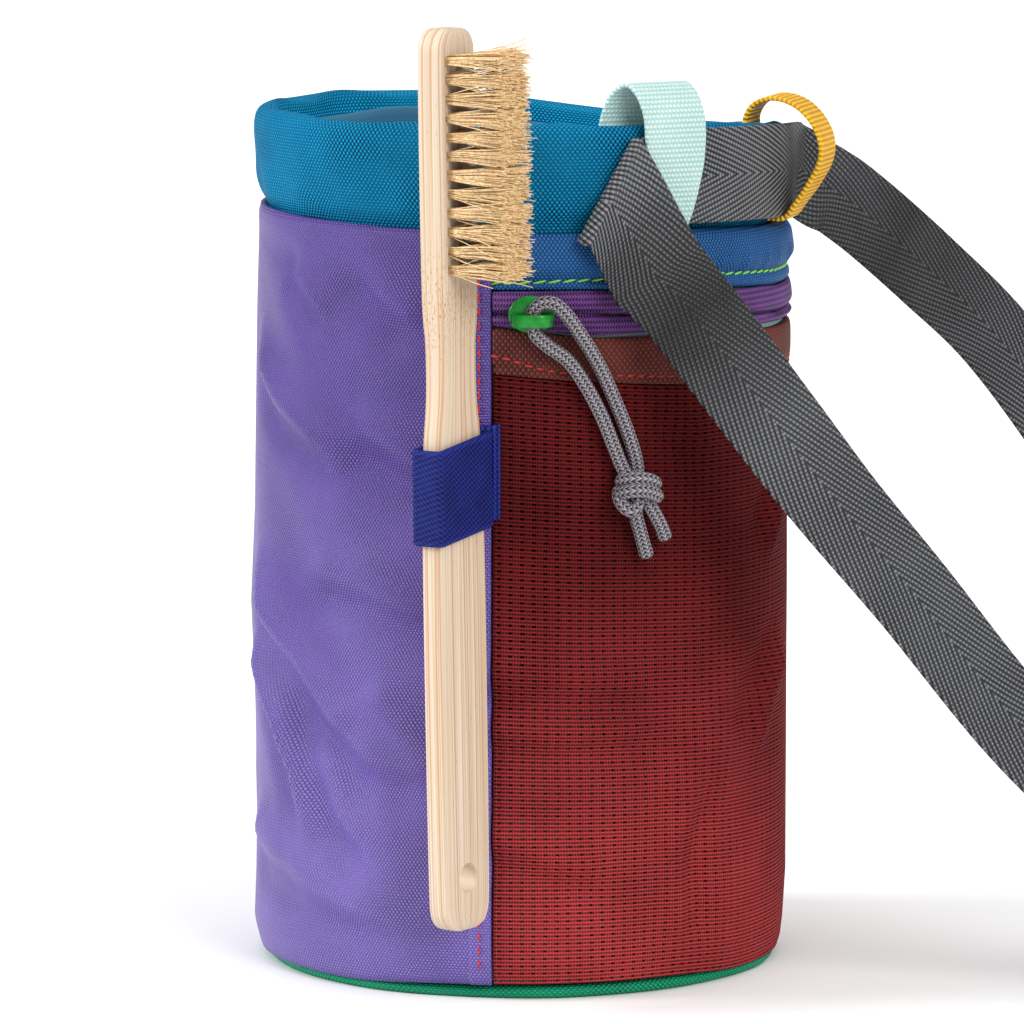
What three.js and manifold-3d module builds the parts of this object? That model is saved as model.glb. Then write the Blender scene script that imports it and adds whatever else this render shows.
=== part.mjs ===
// Climbing chalk bag with a zipped mesh pocket, a webbing belt and a brush in an elastic loop.
// Millimetres, +Z up. The origin is the centre of the base's flat underside, and the front faces -Y.
// A turn is an angle in degrees round the bag's axis, from the front towards +X.

import * as THREE from "three";
import { mergeVertices } from "three/addons/utils/BufferGeometryUtils.js";
import Module from "manifold-3d";

const wasm = await Module();
wasm.setup();

// Bag body
const BAG_RADIUS = 57.8; // outer face of the shell and the mesh, from the bag's axis
const RIM_HEIGHT = 185; // underside of the base to the top of the collar
const CLEARANCE = 0.3; // between pieces that touch
const TURN_STEP = 7.5; // facets of every wall, in degrees
const SHELL_WALL = 1.2;
const MESH_WALL = 1.0;
const PANEL_WALL = 1.0;
const LINING_WALL = 1.5;
const BASE_WALL = 1.5;
const BASE_RIM_HEIGHT = 2.9;
const BASE_EDGE = 1;
const BASE_INSET = 1.9; // the base's low rim inside the wall, which curves in at its foot
const HEM_WALL = 0.8; // extra cloth in the folded front edge of the shell
const HEM_WIDTH = 4;
const COLLAR_HEIGHT = 0.13 * RIM_HEIGHT;
const COLLAR_ROLL = 5.2; // thickness of the padded roll
const RIM_DIP = 5; // the rim sags by this at the back right
const RIM_DIP_TURN = 155;
const RIM_DIP_SPREAD = 50;
const FRONT_SEAM = -6.3; // turn where the shell's folded edge meets the pocket
const BACK_SEAM = 143; // turn where the pocket ends behind
const PANEL_FOOT = 0.02; // lower edge of the pocket's back, a share of RIM_HEIGHT
const SHOULDER_HEIGHT = 0.83; // where the lining turns in under the collar, a share of RIM_HEIGHT
const SHOULDER_INSET = 0.6;
const SKIRT_DEPTH = 7; // from the rim down to the gathered edge of the lining
const SKIRT_GATHER = 0.7; // height of the gathers

// Zip, band and binding over the pocket
const ZIP_WALL = 1.2;
const ZIP_CHAIN = 0.5; // how far the closed coil stands out of its tapes
const BAND_WALL = 1.2;
const BAND_BULGE = 1.0;
const BINDING_WALL = 1.2;
const BINDING_ROLL = 0.3; // how far the folded elastic swells between its edges

// Brush
const BRUSH_LENGTH = 188.2;
const BRUSH_WIDTH = 16;
const BRUSH_THICKNESS = 5;
const BRUSH_BUTT_HEIGHT = 17.9; // from the floor to the butt end
const BRUSH_STAND_OFF = 11.9; // handle's centreline to the shell's face
const BRUSH_TURN = -10.65;
const BRUSH_FACE_TURN = 54; // the wide face looks this far from the front
const BRUSH_TILT = 0.86; // the head leans left, in degrees
const BRUSH_EDGE = 0.5; // eased corner
const BRUSH_HOLE = 6;
const BRUSH_HOLE_HEIGHT = 0.058; // a share of BRUSH_LENGTH
const BRUSH_SLIDE_PLAY = 0.3; // between the handle and its elastic loop
const TUFT_ROWS = 12;
const TUFT_COLUMNS = 3;
const TUFT_PITCH = 3.93;
const TUFT_SPACING = 3.2;
const TUFT_SIZE = 2.2;
const TUFT_TIP_SIZE = 4.1;
const TUFT_LENGTH = 15.5;
const TUFT_TOP_MARGIN = 6.3; // head's end to the highest row

// Elastic loop that holds the brush
const ELASTIC_WIDTH = 20;
const ELASTIC_WALL = 1.2;
const ELASTIC_HEIGHT = 100.7; // lower edge at the handle's centreline
const ELASTIC_RISE = 0.137; // rise of the band towards the bag, per millimetre
const ELASTIC_CORNER = 1.3;
const TAB_WALL = 1.6; // two layers of elastic sewn down
const TAB_START_TURN = -12;
const TAB_END_TURN = -4.3;

// Belt of webbing, its buckle and the two loops that carry it
const BELT_WIDTH = 20;
const BELT_WALL = 1.3;
const BELT_DROP = 11; // rim to the centre of the belt on the collar
const FOLD_TURN = 19;
const FOLD_DROP = 2; // middle of the fold under the middle of the belt on the collar
const FOLD_LEAN = 28; // the fold leans right at its top, in degrees
const BUCKLE_WALL = 2.3; // round the webbing on every side
const BUCKLE_GRIP = 6; // how deep each end of the belt goes in
const LOOP_WALL = 1.0;
const MINT_WIDTH = 15;
const MUSTARD_WIDTH = 12;

// Zip slider and its pull cord
const SLIDER_TURN = 2;
const SLIDER_WIDTH = 9.7;
const SLIDER_HEIGHT = 7.8;
const SLIDER_WALL = 1.1;
const BRIDGE_WIDTH = 2.7;
const BRIDGE_WALL = 0.9;
const BRIDGE_CORNER = 2.2;
const BRIDGE_DROP = 1; // the bridge's middle under the plate's
const CORD_DIAMETER = 3;
const KNOT_WIDTH = 9.4;

// How far the soft wall stands out of a true cylinder on the left and right, as shares of BAG_RADIUS
const SWELL = [
  { height: 0.0, left: -0.057, right: -0.057 },
  { height: 0.011, left: -0.018, right: -0.03 },
  { height: 0.022, left: -0.007, right: -0.019 },
  { height: 0.043, left: 0.009, right: -0.011 },
  { height: 0.1, left: 0.002, right: 0.0 },
  { height: 0.2, left: -0.003, right: 0.0 },
  { height: 0.3, left: 0.003, right: 0.0 },
  { height: 0.42, left: 0.017, right: 0.0 },
  { height: 0.535, left: 0.0, right: 0.0 },
  { height: 0.773, left: -0.012, right: 0.0 },
  { height: 0.865, left: -0.021, right: -0.002 },
  { height: 0.887, left: -0.028, right: -0.004 },
];

// Upper edge of the shell, which goes up under the collar, as a share of RIM_HEIGHT
const SHELL_TOP = [
  { turn: -48, height: 0.886 },
  { turn: -40, height: 0.881 },
];

// Lower edge of the shell and the mesh: raised at the front, where the base shows, as shares of RIM_HEIGHT
const HEM = { height: 0.0115, lift: 0.007, turn: 9, spread: 38 };

// Broad folds of the soft wall. Height is a share of RIM_HEIGHT; length, width and depth of BAG_RADIUS.
const FOLDS = [
  { turn: -66, height: 0.4, lean: -16, length: 0.62, width: 0.15, depth: 0.014 },
  { turn: -50, height: 0.33, lean: -16, length: 0.55, width: 0.13, depth: -0.016 },
  { turn: -36, height: 0.62, lean: -24, length: 0.5, width: 0.16, depth: -0.013 },
  { turn: -52, height: 0.72, lean: -35, length: 0.4, width: 0.14, depth: 0.01 },
  { turn: -30, height: 0.2, lean: -12, length: 0.45, width: 0.14, depth: 0.012 },
  { turn: -125, height: 0.5, lean: 20, length: 0.6, width: 0.18, depth: -0.014 },
  { turn: 172, height: 0.45, lean: -15, length: 0.6, width: 0.18, depth: -0.012 },
  { turn: 46, height: 0.29, lean: 52, length: 0.5, width: 0.13, depth: 0.013 },
  { turn: 52, height: 0.19, lean: 48, length: 0.42, width: 0.13, depth: -0.013 },
  { turn: 22, height: 0.4, lean: 10, length: 0.4, width: 0.16, depth: -0.01 },
  { turn: 110, height: 0.4, lean: -20, length: 0.5, width: 0.18, depth: -0.012 },
];

// Rows of points shared by every layer of the wall, as shares of RIM_HEIGHT
const WALL_ROWS = [0.045, 0.1, 0.2, 0.3, 0.4, 0.52, 0.64, 0.773];

// Heights of the pocket's seams, as shares of RIM_HEIGHT
const SEAMS = [
  { turn: -6, bandTop: 0.88, stitch: 0.823, bandEnd: 0.815, zip: 0.788, tape: 0.7746, binding: 0.773, mesh: 0.72 },
  { turn: 14, bandTop: 0.88, stitch: 0.826, bandEnd: 0.815, zip: 0.788, tape: 0.763, binding: 0.76, mesh: 0.71 },
  { turn: 40, bandTop: 0.88, stitch: 0.826, bandEnd: 0.81, zip: 0.78, tape: 0.763, binding: 0.757, mesh: 0.7 },
  { turn: 70, bandTop: 0.872, stitch: 0.818, bandEnd: 0.801, zip: 0.769, tape: 0.7583, binding: 0.752, mesh: 0.7 },
  { turn: 143, bandTop: 0.872, stitch: 0.818, bandEnd: 0.801, zip: 0.769, tape: 0.7583, binding: 0.752, mesh: 0.7 },
];

// Section of the blue band. Up is the share of the way from its stitching to its top, out of BAND_BULGE.
const BAND_FOOT = -0.2;
const BAND_SECTION = [
  { up: 0, out: -0.8 },
  { up: 0.35, out: 1 },
  { up: 0.7, out: 0.7 },
  { up: 0.92, out: -0.5 },
  { up: 1, out: -1.8 },
];

// Padded collar: face points from the hidden foot up over the roll and down the inside.
// Out is the distance inside BAG_RADIUS as a share of COLLAR_ROLL; up is a share of COLLAR_HEIGHT.
const COLLAR_SECTION = [
  { out: 0.62, up: 0.0 },
  { out: 0.62, up: 0.16 },
  { out: 0.46, up: 0.25 },
  { out: 0.3, up: 0.4 },
  { out: 0.1, up: 0.66 },
  { out: 0.02, up: 0.86 },
  { out: 0.14, up: 0.95 },
  { out: 0.44, up: 1.0 },
  { out: 0.82, up: 0.98 },
  { out: 1.02, up: 0.9 },
  { out: 1.02, up: 0.7 },
  { out: 0.99, up: 0.4 },
  { out: 0.94, up: 0.2 },
  { out: 0.9, up: 0.0 },
];

// Brush handle from butt to head: shares of BRUSH_LENGTH, BRUSH_WIDTH and BRUSH_THICKNESS
const HANDLE = [
  { height: 0.0, width: 0.56, thickness: 0.9 },
  { height: 0.006, width: 0.76, thickness: 1.0 },
  { height: 0.019, width: 0.92, thickness: 1.0 },
  { height: 0.04, width: 0.96, thickness: 1.0 },
  { height: 0.4, width: 1.0, thickness: 1.0 },
  { height: 0.52, width: 0.93, thickness: 1.0 },
  { height: 0.6, width: 0.73, thickness: 1.02 },
  { height: 0.65, width: 0.7, thickness: 1.08 },
  { height: 0.71, width: 0.77, thickness: 1.2 },
  { height: 0.97, width: 0.77, thickness: 1.2 },
  { height: 0.99, width: 0.62, thickness: 1.2 },
  { height: 1.0, width: 0.36, thickness: 1.1 },
];

// Free stretches of the belt, from the buckle to the fold and from the collar to the buckle.
// Across and along are shares of BAG_RADIUS, up of RIM_HEIGHT; lean tips the upper edge forward.
const FRONT_STRAND = [
  { across: 4.73, along: -0.28, up: 0.0, lean: 0 },
  { across: 4.73, along: -0.36, up: 0.0, lean: 0 },
  { across: 4.72, along: -0.44, up: 0.0, lean: 0 },
  { across: 4.6, along: -0.56, up: 0.0, lean: 0 },
  { across: 4.2, along: -0.68, up: 0.0, lean: 0 },
  { across: 3.6, along: -0.76, up: 0.0, lean: 0 },
  { across: 3.02, along: -0.86, up: 0.062, lean: 6 },
  { across: 2.6, along: -0.97, up: 0.12, lean: 16 },
  { across: 2.2, along: -1.04, up: 0.205, lean: 24 },
  { across: 1.82, along: -1.09, up: 0.316, lean: 27 },
  { across: 1.4, along: -1.13, up: 0.479, lean: 27 },
  { across: 1.12, along: -1.14, up: 0.584, lean: 24 },
  { across: 0.888, along: -1.13, up: 0.678, lean: 17 },
  { across: 0.673, along: -1.115, up: 0.767, lean: 8 },
  { across: 0.5, along: -1.09, up: 0.836, lean: 0 },
];
const BACK_STRAND = [
  { across: 1.022, along: -0.03, up: 0.938, lean: 0 },
  { across: 1.055, along: 0.045, up: 0.928, lean: 4 },
  { across: 1.112, along: 0.09, up: 0.911, lean: 10 },
  { across: 1.17, along: 0.121, up: 0.899, lean: 16 },
  { across: 1.277, along: 0.17, up: 0.871, lean: 16 },
  { across: 1.54, along: 0.294, up: 0.797, lean: 15 },
  { across: 1.808, along: 0.424, up: 0.713, lean: 16 },
  { across: 2.25, along: 0.588, up: 0.524, lean: 18 },
  { across: 2.7, along: 0.72, up: 0.33, lean: 14 },
  { across: 3.1, along: 0.8, up: 0.16, lean: 8 },
  { across: 3.5, along: 0.82, up: 0.07, lean: 2 },
  { across: 3.9, along: 0.78, up: 0.0, lean: 0 },
  { across: 4.3, along: 0.68, up: 0.0, lean: 0 },
  { across: 4.6, along: 0.56, up: 0.0, lean: 0 },
  { across: 4.72, along: 0.44, up: 0.0, lean: 0 },
  { across: 4.73, along: 0.36, up: 0.0, lean: 0 },
  { across: 4.73, along: 0.28, up: 0.0, lean: 0 },
];

// Belt loops from the sewn foot, outside the belt and over the rim, to the end inside the collar.
// Out is the distance beyond BAG_RADIUS as a share of BELT_WIDTH, and up the distance above the rim
// as a share of COLLAR_HEIGHT. Width is a share of the loop's own.
const MINT_ROUTE = [
  { turn: 32.8, out: -0.1, up: -0.911, width: 0.5 },
  { turn: 32.8, out: 0.075, up: -0.911, width: 0.5 },
  { turn: 32.8, out: 0.1175, up: -0.832, width: 0.6 },
  { turn: 33.1, out: 0.1175, up: -0.624, width: 0.8 },
  { turn: 33.5, out: 0.1175, up: -0.374, width: 0.95 },
  { turn: 33.8, out: 0.115, up: -0.125, width: 1 },
  { turn: 33.7, out: 0.085, up: 0.083, width: 1 },
  { turn: 33.1, out: -0.02, up: 0.258, width: 1 },
  { turn: 32.1, out: -0.15, up: 0.333, width: 1 },
  { turn: 30.5, out: -0.28, up: 0.258, width: 1 },
  { turn: 28.9, out: -0.345, up: 0.083, width: 1 },
  { turn: 28.1, out: -0.34, up: -0.042, width: 1 },
  { turn: 27.9, out: -0.3375, up: -0.166, width: 1 },
];
const MUSTARD_ROUTE = [
  { turn: 74, out: -0.1, up: -0.944, width: 0.8 },
  { turn: 74, out: 0.09, up: -0.936, width: 0.8 },
  { turn: 74, out: 0.21, up: -0.811, width: 0.9 },
  { turn: 74, out: 0.36, up: -0.632, width: 1 },
  { turn: 74, out: 0.48, up: -0.437, width: 1 },
  { turn: 74, out: 0.495, up: -0.27, width: 1 },
  { turn: 74, out: 0.405, up: -0.087, width: 1 },
  { turn: 74, out: 0.205, up: 0.071, width: 1 },
  { turn: 74, out: -0.04, up: 0.125, width: 1 },
  { turn: 74, out: -0.24, up: 0.067, width: 1 },
  { turn: 74, out: -0.33, up: -0.058, width: 1 },
  { turn: 74, out: -0.325, up: -0.166, width: 1 },
];

// Route of the pull cord: from the knot, up through the slider's bridge and back down to the knot
const CORD_ROUTE = [
  { turn: 23.3, radius: 60.7, height: 114.2 },
  { turn: 21.8, radius: 60.4, height: 120.0 },
  { turn: 19.0, radius: 60.3, height: 127.2 },
  { turn: 15.4, radius: 60.6, height: 135.2 },
  { turn: 11.8, radius: 61.4, height: 141.3 },
  { turn: 8.2, radius: 62.6, height: 146.0 },
  { turn: 4.8, radius: 62.9, height: 148.7 },
  { turn: 2.3, radius: 61.8, height: 147.8 },
  { turn: 2.0, radius: 61.3, height: 144.8 },
  { turn: 2.7, radius: 61.4, height: 141.9 },
  { turn: 5.2, radius: 61.3, height: 139.4 },
  { turn: 9.0, radius: 60.7, height: 136.4 },
  { turn: 12.6, radius: 60.5, height: 131.2 },
  { turn: 16.0, radius: 60.4, height: 124.6 },
  { turn: 18.6, radius: 60.5, height: 118.0 },
  { turn: 20.0, radius: 60.8, height: 114.2 },
];
const LEFT_TAIL_ROUTE = [
  { turn: 22.7, radius: 61.6, height: 104.3 },
  { turn: 24.2, radius: 61.0, height: 99.2 },
  { turn: 25.8, radius: 60.4, height: 94.4 },
];
const RIGHT_TAIL_ROUTE = [
  { turn: 25.9, radius: 62.6, height: 104.7 },
  { turn: 27.9, radius: 62.0, height: 101.3 },
  { turn: 29.4, radius: 61.5, height: 98.1 },
];
const KNOT_PLACE = { turn: 23.0, radius: 62.8, height: 109.2 };

// A point given by its turn, its distance from the bag's axis and its height
function at(turn, radius, height) {
  const angle = THREE.MathUtils.degToRad(turn);
  return new THREE.Vector3(radius * Math.sin(angle), -radius * Math.cos(angle), height);
}

// The turn from one place to another, the short way round
function turnFrom(origin, turn) {
  return THREE.MathUtils.euclideanModulo(turn - origin + 180, 360) - 180;
}

// Straight-line interpolation between the rows of a table
function lookUp(table, keyColumn, valueColumn, key) {
  const last = table[table.length - 1];
  if (key <= table[0][keyColumn]) return table[0][valueColumn];
  if (key >= last[keyColumn]) return last[valueColumn];
  const next = table.findIndex((row) => row[keyColumn] > key);
  const low = table[next - 1];
  const high = table[next];
  const share = (key - low[keyColumn]) / (high[keyColumn] - low[keyColumn]);
  return THREE.MathUtils.lerp(low[valueColumn], high[valueColumn], share);
}

// The turns of a wall's facets between two ends
function turnsBetween(start, end) {
  const turns = [start];
  const margin = TURN_STEP / 6;
  const first = Math.ceil((start + margin) / TURN_STEP) * TURN_STEP;
  for (let turn = first; turn < end - margin; turn += TURN_STEP) turns.push(turn);
  turns.push(end);
  return turns;
}

// Six times the volume that a triangle mesh encloses, negative where its faces look inwards
function signedVolume(points, triangles) {
  let sum = 0;
  for (let i = 0; i < triangles.length; i += 3) {
    const [a, b, c] = [points[triangles[i]], points[triangles[i + 1]], points[triangles[i + 2]]];
    sum += a.dot(new THREE.Vector3().crossVectors(b, c));
  }
  return sum;
}

// A closed body skinned over loops of equally many points. A ring of loops closes on itself;
// otherwise both end loops are filled in strips between their first and second halves.
// The second half splits its facets the other way, so a wall's back follows its face.
function skin(loops, isRing = false) {
  const count = loops[0].length;
  const points = loops.flat();
  const triangles = [];
  const spans = isRing ? loops.length : loops.length - 1;
  for (let i = 0; i < spans; i++) {
    const here = i * count;
    const ahead = ((i + 1) % loops.length) * count;
    for (let j = 0; j < count; j++) {
      const k = (j + 1) % count;
      const [a, b, c, d] = [here + j, ahead + j, ahead + k, here + k];
      if (j < count / 2) triangles.push(a, b, c, a, c, d);
      else triangles.push(a, b, d, b, c, d);
    }
  }
  if (!isRing) {
    const end = (loops.length - 1) * count;
    for (let j = 0; j < count / 2 - 1; j++) {
      const [a, b, c, d] = [j, j + 1, count - 2 - j, count - 1 - j];
      triangles.push(a, b, c, a, c, d);
      triangles.push(end + a, end + c, end + b, end + a, end + d, end + c);
    }
  }
  if (signedVolume(points, triangles) < 0) triangles.reverse();
  const geometry = new THREE.BufferGeometry().setFromPoints(points);
  geometry.setIndex(triangles);
  return geometry;
}

// A geometry as a manifold solid, and back
function toSolid(geometry) {
  const bare = geometry.clone();
  bare.deleteAttribute("normal");
  bare.deleteAttribute("uv");
  const merged = mergeVertices(bare, 1e-4);
  const vertProperties = new Float32Array(merged.attributes.position.array);
  const triVerts = new Uint32Array(merged.index.array);
  return new wasm.Manifold(new wasm.Mesh({ numProp: 3, vertProperties, triVerts }));
}

function toGeometry(solid) {
  const mesh = solid.getMesh();
  const geometry = new THREE.BufferGeometry();
  geometry.setAttribute("position", new THREE.BufferAttribute(new Float32Array(mesh.vertProperties), 3));
  geometry.setIndex(new THREE.BufferAttribute(new Uint32Array(mesh.triVerts), 1));
  return geometry;
}

// A named piece with its own plain material
function piece(name, geometry, color, roughness = 0.9) {
  geometry.computeVertexNormals();
  const mesh = new THREE.Mesh(geometry, new THREE.MeshStandardMaterial({ color, roughness, metalness: 0 }));
  mesh.name = name;
  return mesh;
}

// Outer face of the soft wall: its swell between left and right, and its folds
function wallRadius(turn, height) {
  const share = height / RIM_HEIGHT;
  const leftness = 0.5 - 0.5 * Math.sin(THREE.MathUtils.degToRad(turn));
  const left = lookUp(SWELL, "height", "left", share);
  const right = lookUp(SWELL, "height", "right", share);
  let offset = THREE.MathUtils.lerp(right, left, leftness);
  for (const fold of FOLDS) {
    const across = THREE.MathUtils.degToRad(turnFrom(fold.turn, turn));
    const up = (height - fold.height * RIM_HEIGHT) / BAG_RADIUS;
    const lean = THREE.MathUtils.degToRad(fold.lean);
    const alongFold = up * Math.cos(lean) + across * Math.sin(lean);
    const acrossFold = across * Math.cos(lean) - up * Math.sin(lean);
    offset += fold.depth * Math.exp(-((alongFold / fold.length) ** 2) - (acrossFold / fold.width) ** 2);
  }
  return BAG_RADIUS * (1 + offset);
}

// A layer of cloth between two turns. Rows gives the heights at a turn, face the outer radius.
function layer(start, end, rows, face, wall) {
  const loops = turnsBetween(start, end).map((turn) => {
    const heights = rows(turn);
    const outer = heights.map((height) => at(turn, face(turn, height), height));
    const inner = heights.map((height) => at(turn, face(turn, height) - wall(turn), height));
    return [...outer, ...inner.reverse()];
  });
  return skin(loops);
}

// The shared rows between two heights, with those heights as the ends
function rowsBetween(bottom, top) {
  const margin = 0.01 * RIM_HEIGHT;
  const inside = WALL_ROWS.map((share) => share * RIM_HEIGHT);
  return [bottom, ...inside.filter((height) => height > bottom + margin && height < top - margin), top];
}

// The rim's height, which sags towards the back right
function rimHeight(turn) {
  return RIM_HEIGHT - RIM_DIP * Math.exp(-((turnFrom(RIM_DIP_TURN, turn) / RIM_DIP_SPREAD) ** 2));
}

// Lower edge of the shell and the mesh, raised at the front where the base shows
function hemHeight(turn) {
  return RIM_HEIGHT * (HEM.height + HEM.lift * Math.exp(-((turnFrom(HEM.turn, turn) / HEM.spread) ** 6)));
}

const seam = (column, turn) => RIM_HEIGHT * lookUp(SEAMS, "turn", column, turn);
const meshBack = MESH_WALL + CLEARANCE;
const panelBack = meshBack + PANEL_WALL + CLEARANCE;
const tapeRadius = BAG_RADIUS - MESH_WALL + ZIP_WALL;
const pocketStart = FRONT_SEAM + THREE.MathUtils.radToDeg(CLEARANCE / BAG_RADIUS);
const pocketEnd = BACK_SEAM - THREE.MathUtils.radToDeg(CLEARANCE / BAG_RADIUS);

// Green base: a flat disc with a low rim that the wall stands round
function makeBase() {
  const rimRadius = BAG_RADIUS - meshBack - BASE_INSET;
  const profile = [
    new THREE.Vector2(0, 0),
    new THREE.Vector2(rimRadius - BASE_EDGE, 0),
    new THREE.Vector2(rimRadius, BASE_EDGE),
    new THREE.Vector2(rimRadius, BASE_RIM_HEIGHT),
    new THREE.Vector2(rimRadius - BASE_WALL, BASE_RIM_HEIGHT),
    new THREE.Vector2(rimRadius - BASE_WALL, BASE_WALL),
    new THREE.Vector2(0, BASE_WALL),
  ];
  const geometry = new THREE.LatheGeometry(profile, 36);
  geometry.rotateX(Math.PI / 2);
  return piece("base_panel", geometry, 0x1e7a43);
}

// Purple shell from the front seam round the left and the back, with a doubled front edge
function makeShell() {
  const start = BACK_SEAM - 360;
  const hemTurn = THREE.MathUtils.radToDeg(HEM_WIDTH / BAG_RADIUS);
  const isHem = (turn) => turn > FRONT_SEAM - hemTurn - 0.01;
  const top = (turn) => RIM_HEIGHT * lookUp(SHELL_TOP, "turn", "height", turn);
  const rows = (turn) => rowsBetween(hemHeight(turn), top(turn));
  const face = (turn, height) => wallRadius(turn, height) + (isHem(turn) ? HEM_WALL : 0);
  const wall = (turn) => SHELL_WALL + (isHem(turn) ? HEM_WALL : 0);
  return piece("shell_panel", layer(start, FRONT_SEAM, rows, face, wall), 0x5a4196);
}

// Mint panel behind the mesh, which closes the pocket towards the bag
function makePocketPanel() {
  const rows = (turn) => {
    const top = seam("bandEnd", turn) - CLEARANCE;
    return rowsBetween(RIM_HEIGHT * PANEL_FOOT, top);
  };
  const face = (turn, height) => wallRadius(turn, height) - meshBack;
  return piece("pocket_panel", layer(pocketStart, pocketEnd, rows, face, () => PANEL_WALL), 0x9fd8cb);
}

// Red mesh front of the pocket
function makeMesh() {
  const rows = (turn) => rowsBetween(hemHeight(turn), seam("mesh", turn) - CLEARANCE);
  return piece("mesh_pocket", layer(pocketStart, pocketEnd, rows, wallRadius, () => MESH_WALL), 0x7d2226);
}

// Elastic binding folded over the mesh's upper edge
function makeBinding() {
  const rows = (turn) => {
    const [bottom, top] = [seam("mesh", turn), seam("binding", turn)];
    return [0, 0.2, 0.5, 1].map((share) => THREE.MathUtils.lerp(bottom, top, share));
  };
  const face = (turn, height) => {
    const share = THREE.MathUtils.inverseLerp(seam("mesh", turn), seam("binding", turn), height);
    const isMiddle = share > 0.1 && share < 0.9;
    return BAG_RADIUS + BINDING_WALL - MESH_WALL + (isMiddle ? BINDING_ROLL : 0);
  };
  return piece("mesh_binding", layer(pocketStart, pocketEnd, rows, face, () => BINDING_WALL), 0x5a2420);
}

// One tape of the zip, with half of the closed coil along its inner edge
function makeZipTape(name, edges) {
  const rows = (turn) => {
    const [bottom, top] = edges(turn);
    const chain = 0.36 * (top - bottom);
    return name === "zip_tape_upper" ? [bottom, bottom + chain, top] : [bottom, top - chain, top];
  };
  const face = (turn, height) => {
    const isChain = Math.abs(height - seam("zip", turn)) < CLEARANCE;
    return tapeRadius + (isChain ? ZIP_CHAIN : 0);
  };
  return piece(name, layer(pocketStart, pocketEnd, rows, face, () => ZIP_WALL), 0x54307f);
}

function upperTapeEdges(turn) {
  return [seam("zip", turn) + CLEARANCE / 2, seam("bandEnd", turn) - CLEARANCE];
}

function lowerTapeEdges(turn) {
  return [seam("tape", turn), seam("zip", turn) - CLEARANCE / 2];
}

// Blue band between the collar and the zip, bulging between its seams
function makeZipBand() {
  const loops = turnsBetween(pocketStart, pocketEnd).map((turn) => {
    const stitch = seam("stitch", turn);
    const top = seam("bandTop", turn) - 1.6 * CLEARANCE;
    const rows = BAND_SECTION.map(({ up, out }) => ({ height: THREE.MathUtils.lerp(stitch, top, up), out }));
    rows.unshift({ height: seam("bandEnd", turn), out: BAND_FOOT });
    const outer = rows.map(({ height, out }) => at(turn, BAG_RADIUS + out * BAND_BULGE, height));
    const inner = rows.map(({ height, out }) => at(turn, BAG_RADIUS + out * BAND_BULGE - BAND_WALL, height));
    return [...outer, ...inner.reverse()];
  });
  return piece("zip_band", skin(loops), 0x1f4f87);
}

// Padded collar, a closed ring
function makeCollar() {
  const loops = turnsBetween(0, 360 - TURN_STEP).map((turn) => {
    const rise = rimHeight(turn) - RIM_HEIGHT;
    return COLLAR_SECTION.map(({ out, up }) => {
      const height = RIM_HEIGHT - COLLAR_HEIGHT * (1 - up) + rise * up;
      return at(turn, BAG_RADIUS - COLLAR_ROLL * out, height);
    });
  });
  return piece("collar", skin(loops, true), 0x12719c);
}

// Slate lining: a cup whose gathered upper edge stands inside the collar
function makeLining() {
  const turns = turnsBetween(0, 360 - TURN_STEP);
  const collarFoot = RIM_HEIGHT - COLLAR_HEIGHT - CLEARANCE;
  const skirtRadius = BAG_RADIUS - COLLAR_ROLL * 1.02 - CLEARANCE;
  const floor = BASE_WALL + CLEARANCE;
  const shoulder = SHOULDER_HEIGHT * RIM_HEIGHT;
  const ring = (radius, height) => turns.map((turn) => at(turn, radius(turn), height(turn)));
  const flat = (value) => () => value;
  const wallRing = (height, inset) => ring((turn) => wallRadius(turn, height) - panelBack - inset, flat(height));
  const wave = (turn, count) => Math.sin(THREE.MathUtils.degToRad(turn * count));
  const gather = (turn) => SKIRT_GATHER * (wave(turn, 9) + wave(turn, 4));
  const skirtTop = (turn) => rimHeight(turn) - SKIRT_DEPTH + gather(turn);
  const skirtEdge = (inset) => ring((turn) => skirtRadius - inset - 0.6 * gather(turn), skirtTop);
  const heights = WALL_ROWS.map((share) => share * RIM_HEIGHT);
  const rings = [
    ring(flat(skirtRadius), flat(floor)),
    ring(flat(skirtRadius + CLEARANCE), flat(floor + LINING_WALL)),
    ...heights.map((height) => wallRing(height, 0)),
    wallRing(shoulder, SHOULDER_INSET),
    ring(flat(skirtRadius), flat(collarFoot - SHOULDER_INSET)),
    ring(flat(skirtRadius), (turn) => skirtTop(turn) - 2 * LINING_WALL),
    skirtEdge(0.4 * LINING_WALL),
    skirtEdge(1.2 * LINING_WALL),
    ring(flat(skirtRadius - LINING_WALL), (turn) => skirtTop(turn) - 2.3 * LINING_WALL),
    ring(flat(skirtRadius - LINING_WALL), flat(collarFoot - 2 * SHOULDER_INSET)),
    wallRing(shoulder - 2 * SHOULDER_INSET, SHOULDER_INSET + LINING_WALL),
    ...heights.reverse().map((height) => wallRing(height, LINING_WALL)),
    ring(flat(skirtRadius - LINING_WALL), flat(floor + LINING_WALL)),
  ];
  return piece("lining", skin(rings), 0x3f6480);
}

// Section of the brush handle at one row of the table: a rectangle with eased edges
function handleLoop(row) {
  const halfWidth = (row.width * BRUSH_WIDTH) / 2;
  const halfThickness = (row.thickness * BRUSH_THICKNESS) / 2;
  const height = row.height * BRUSH_LENGTH;
  const quarter = [
    [halfThickness, halfWidth - BRUSH_EDGE],
    [halfThickness - BRUSH_EDGE, halfWidth],
  ];
  const corners = [
    ...quarter,
    ...quarter.map(([x, y]) => [-x, y]).reverse(),
    ...quarter.map(([x, y]) => [-x, -y]),
    ...quarter.map(([x, y]) => [x, -y]).reverse(),
  ];
  return corners.map(([x, y]) => new THREE.Vector3(x, y, height));
}

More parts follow.
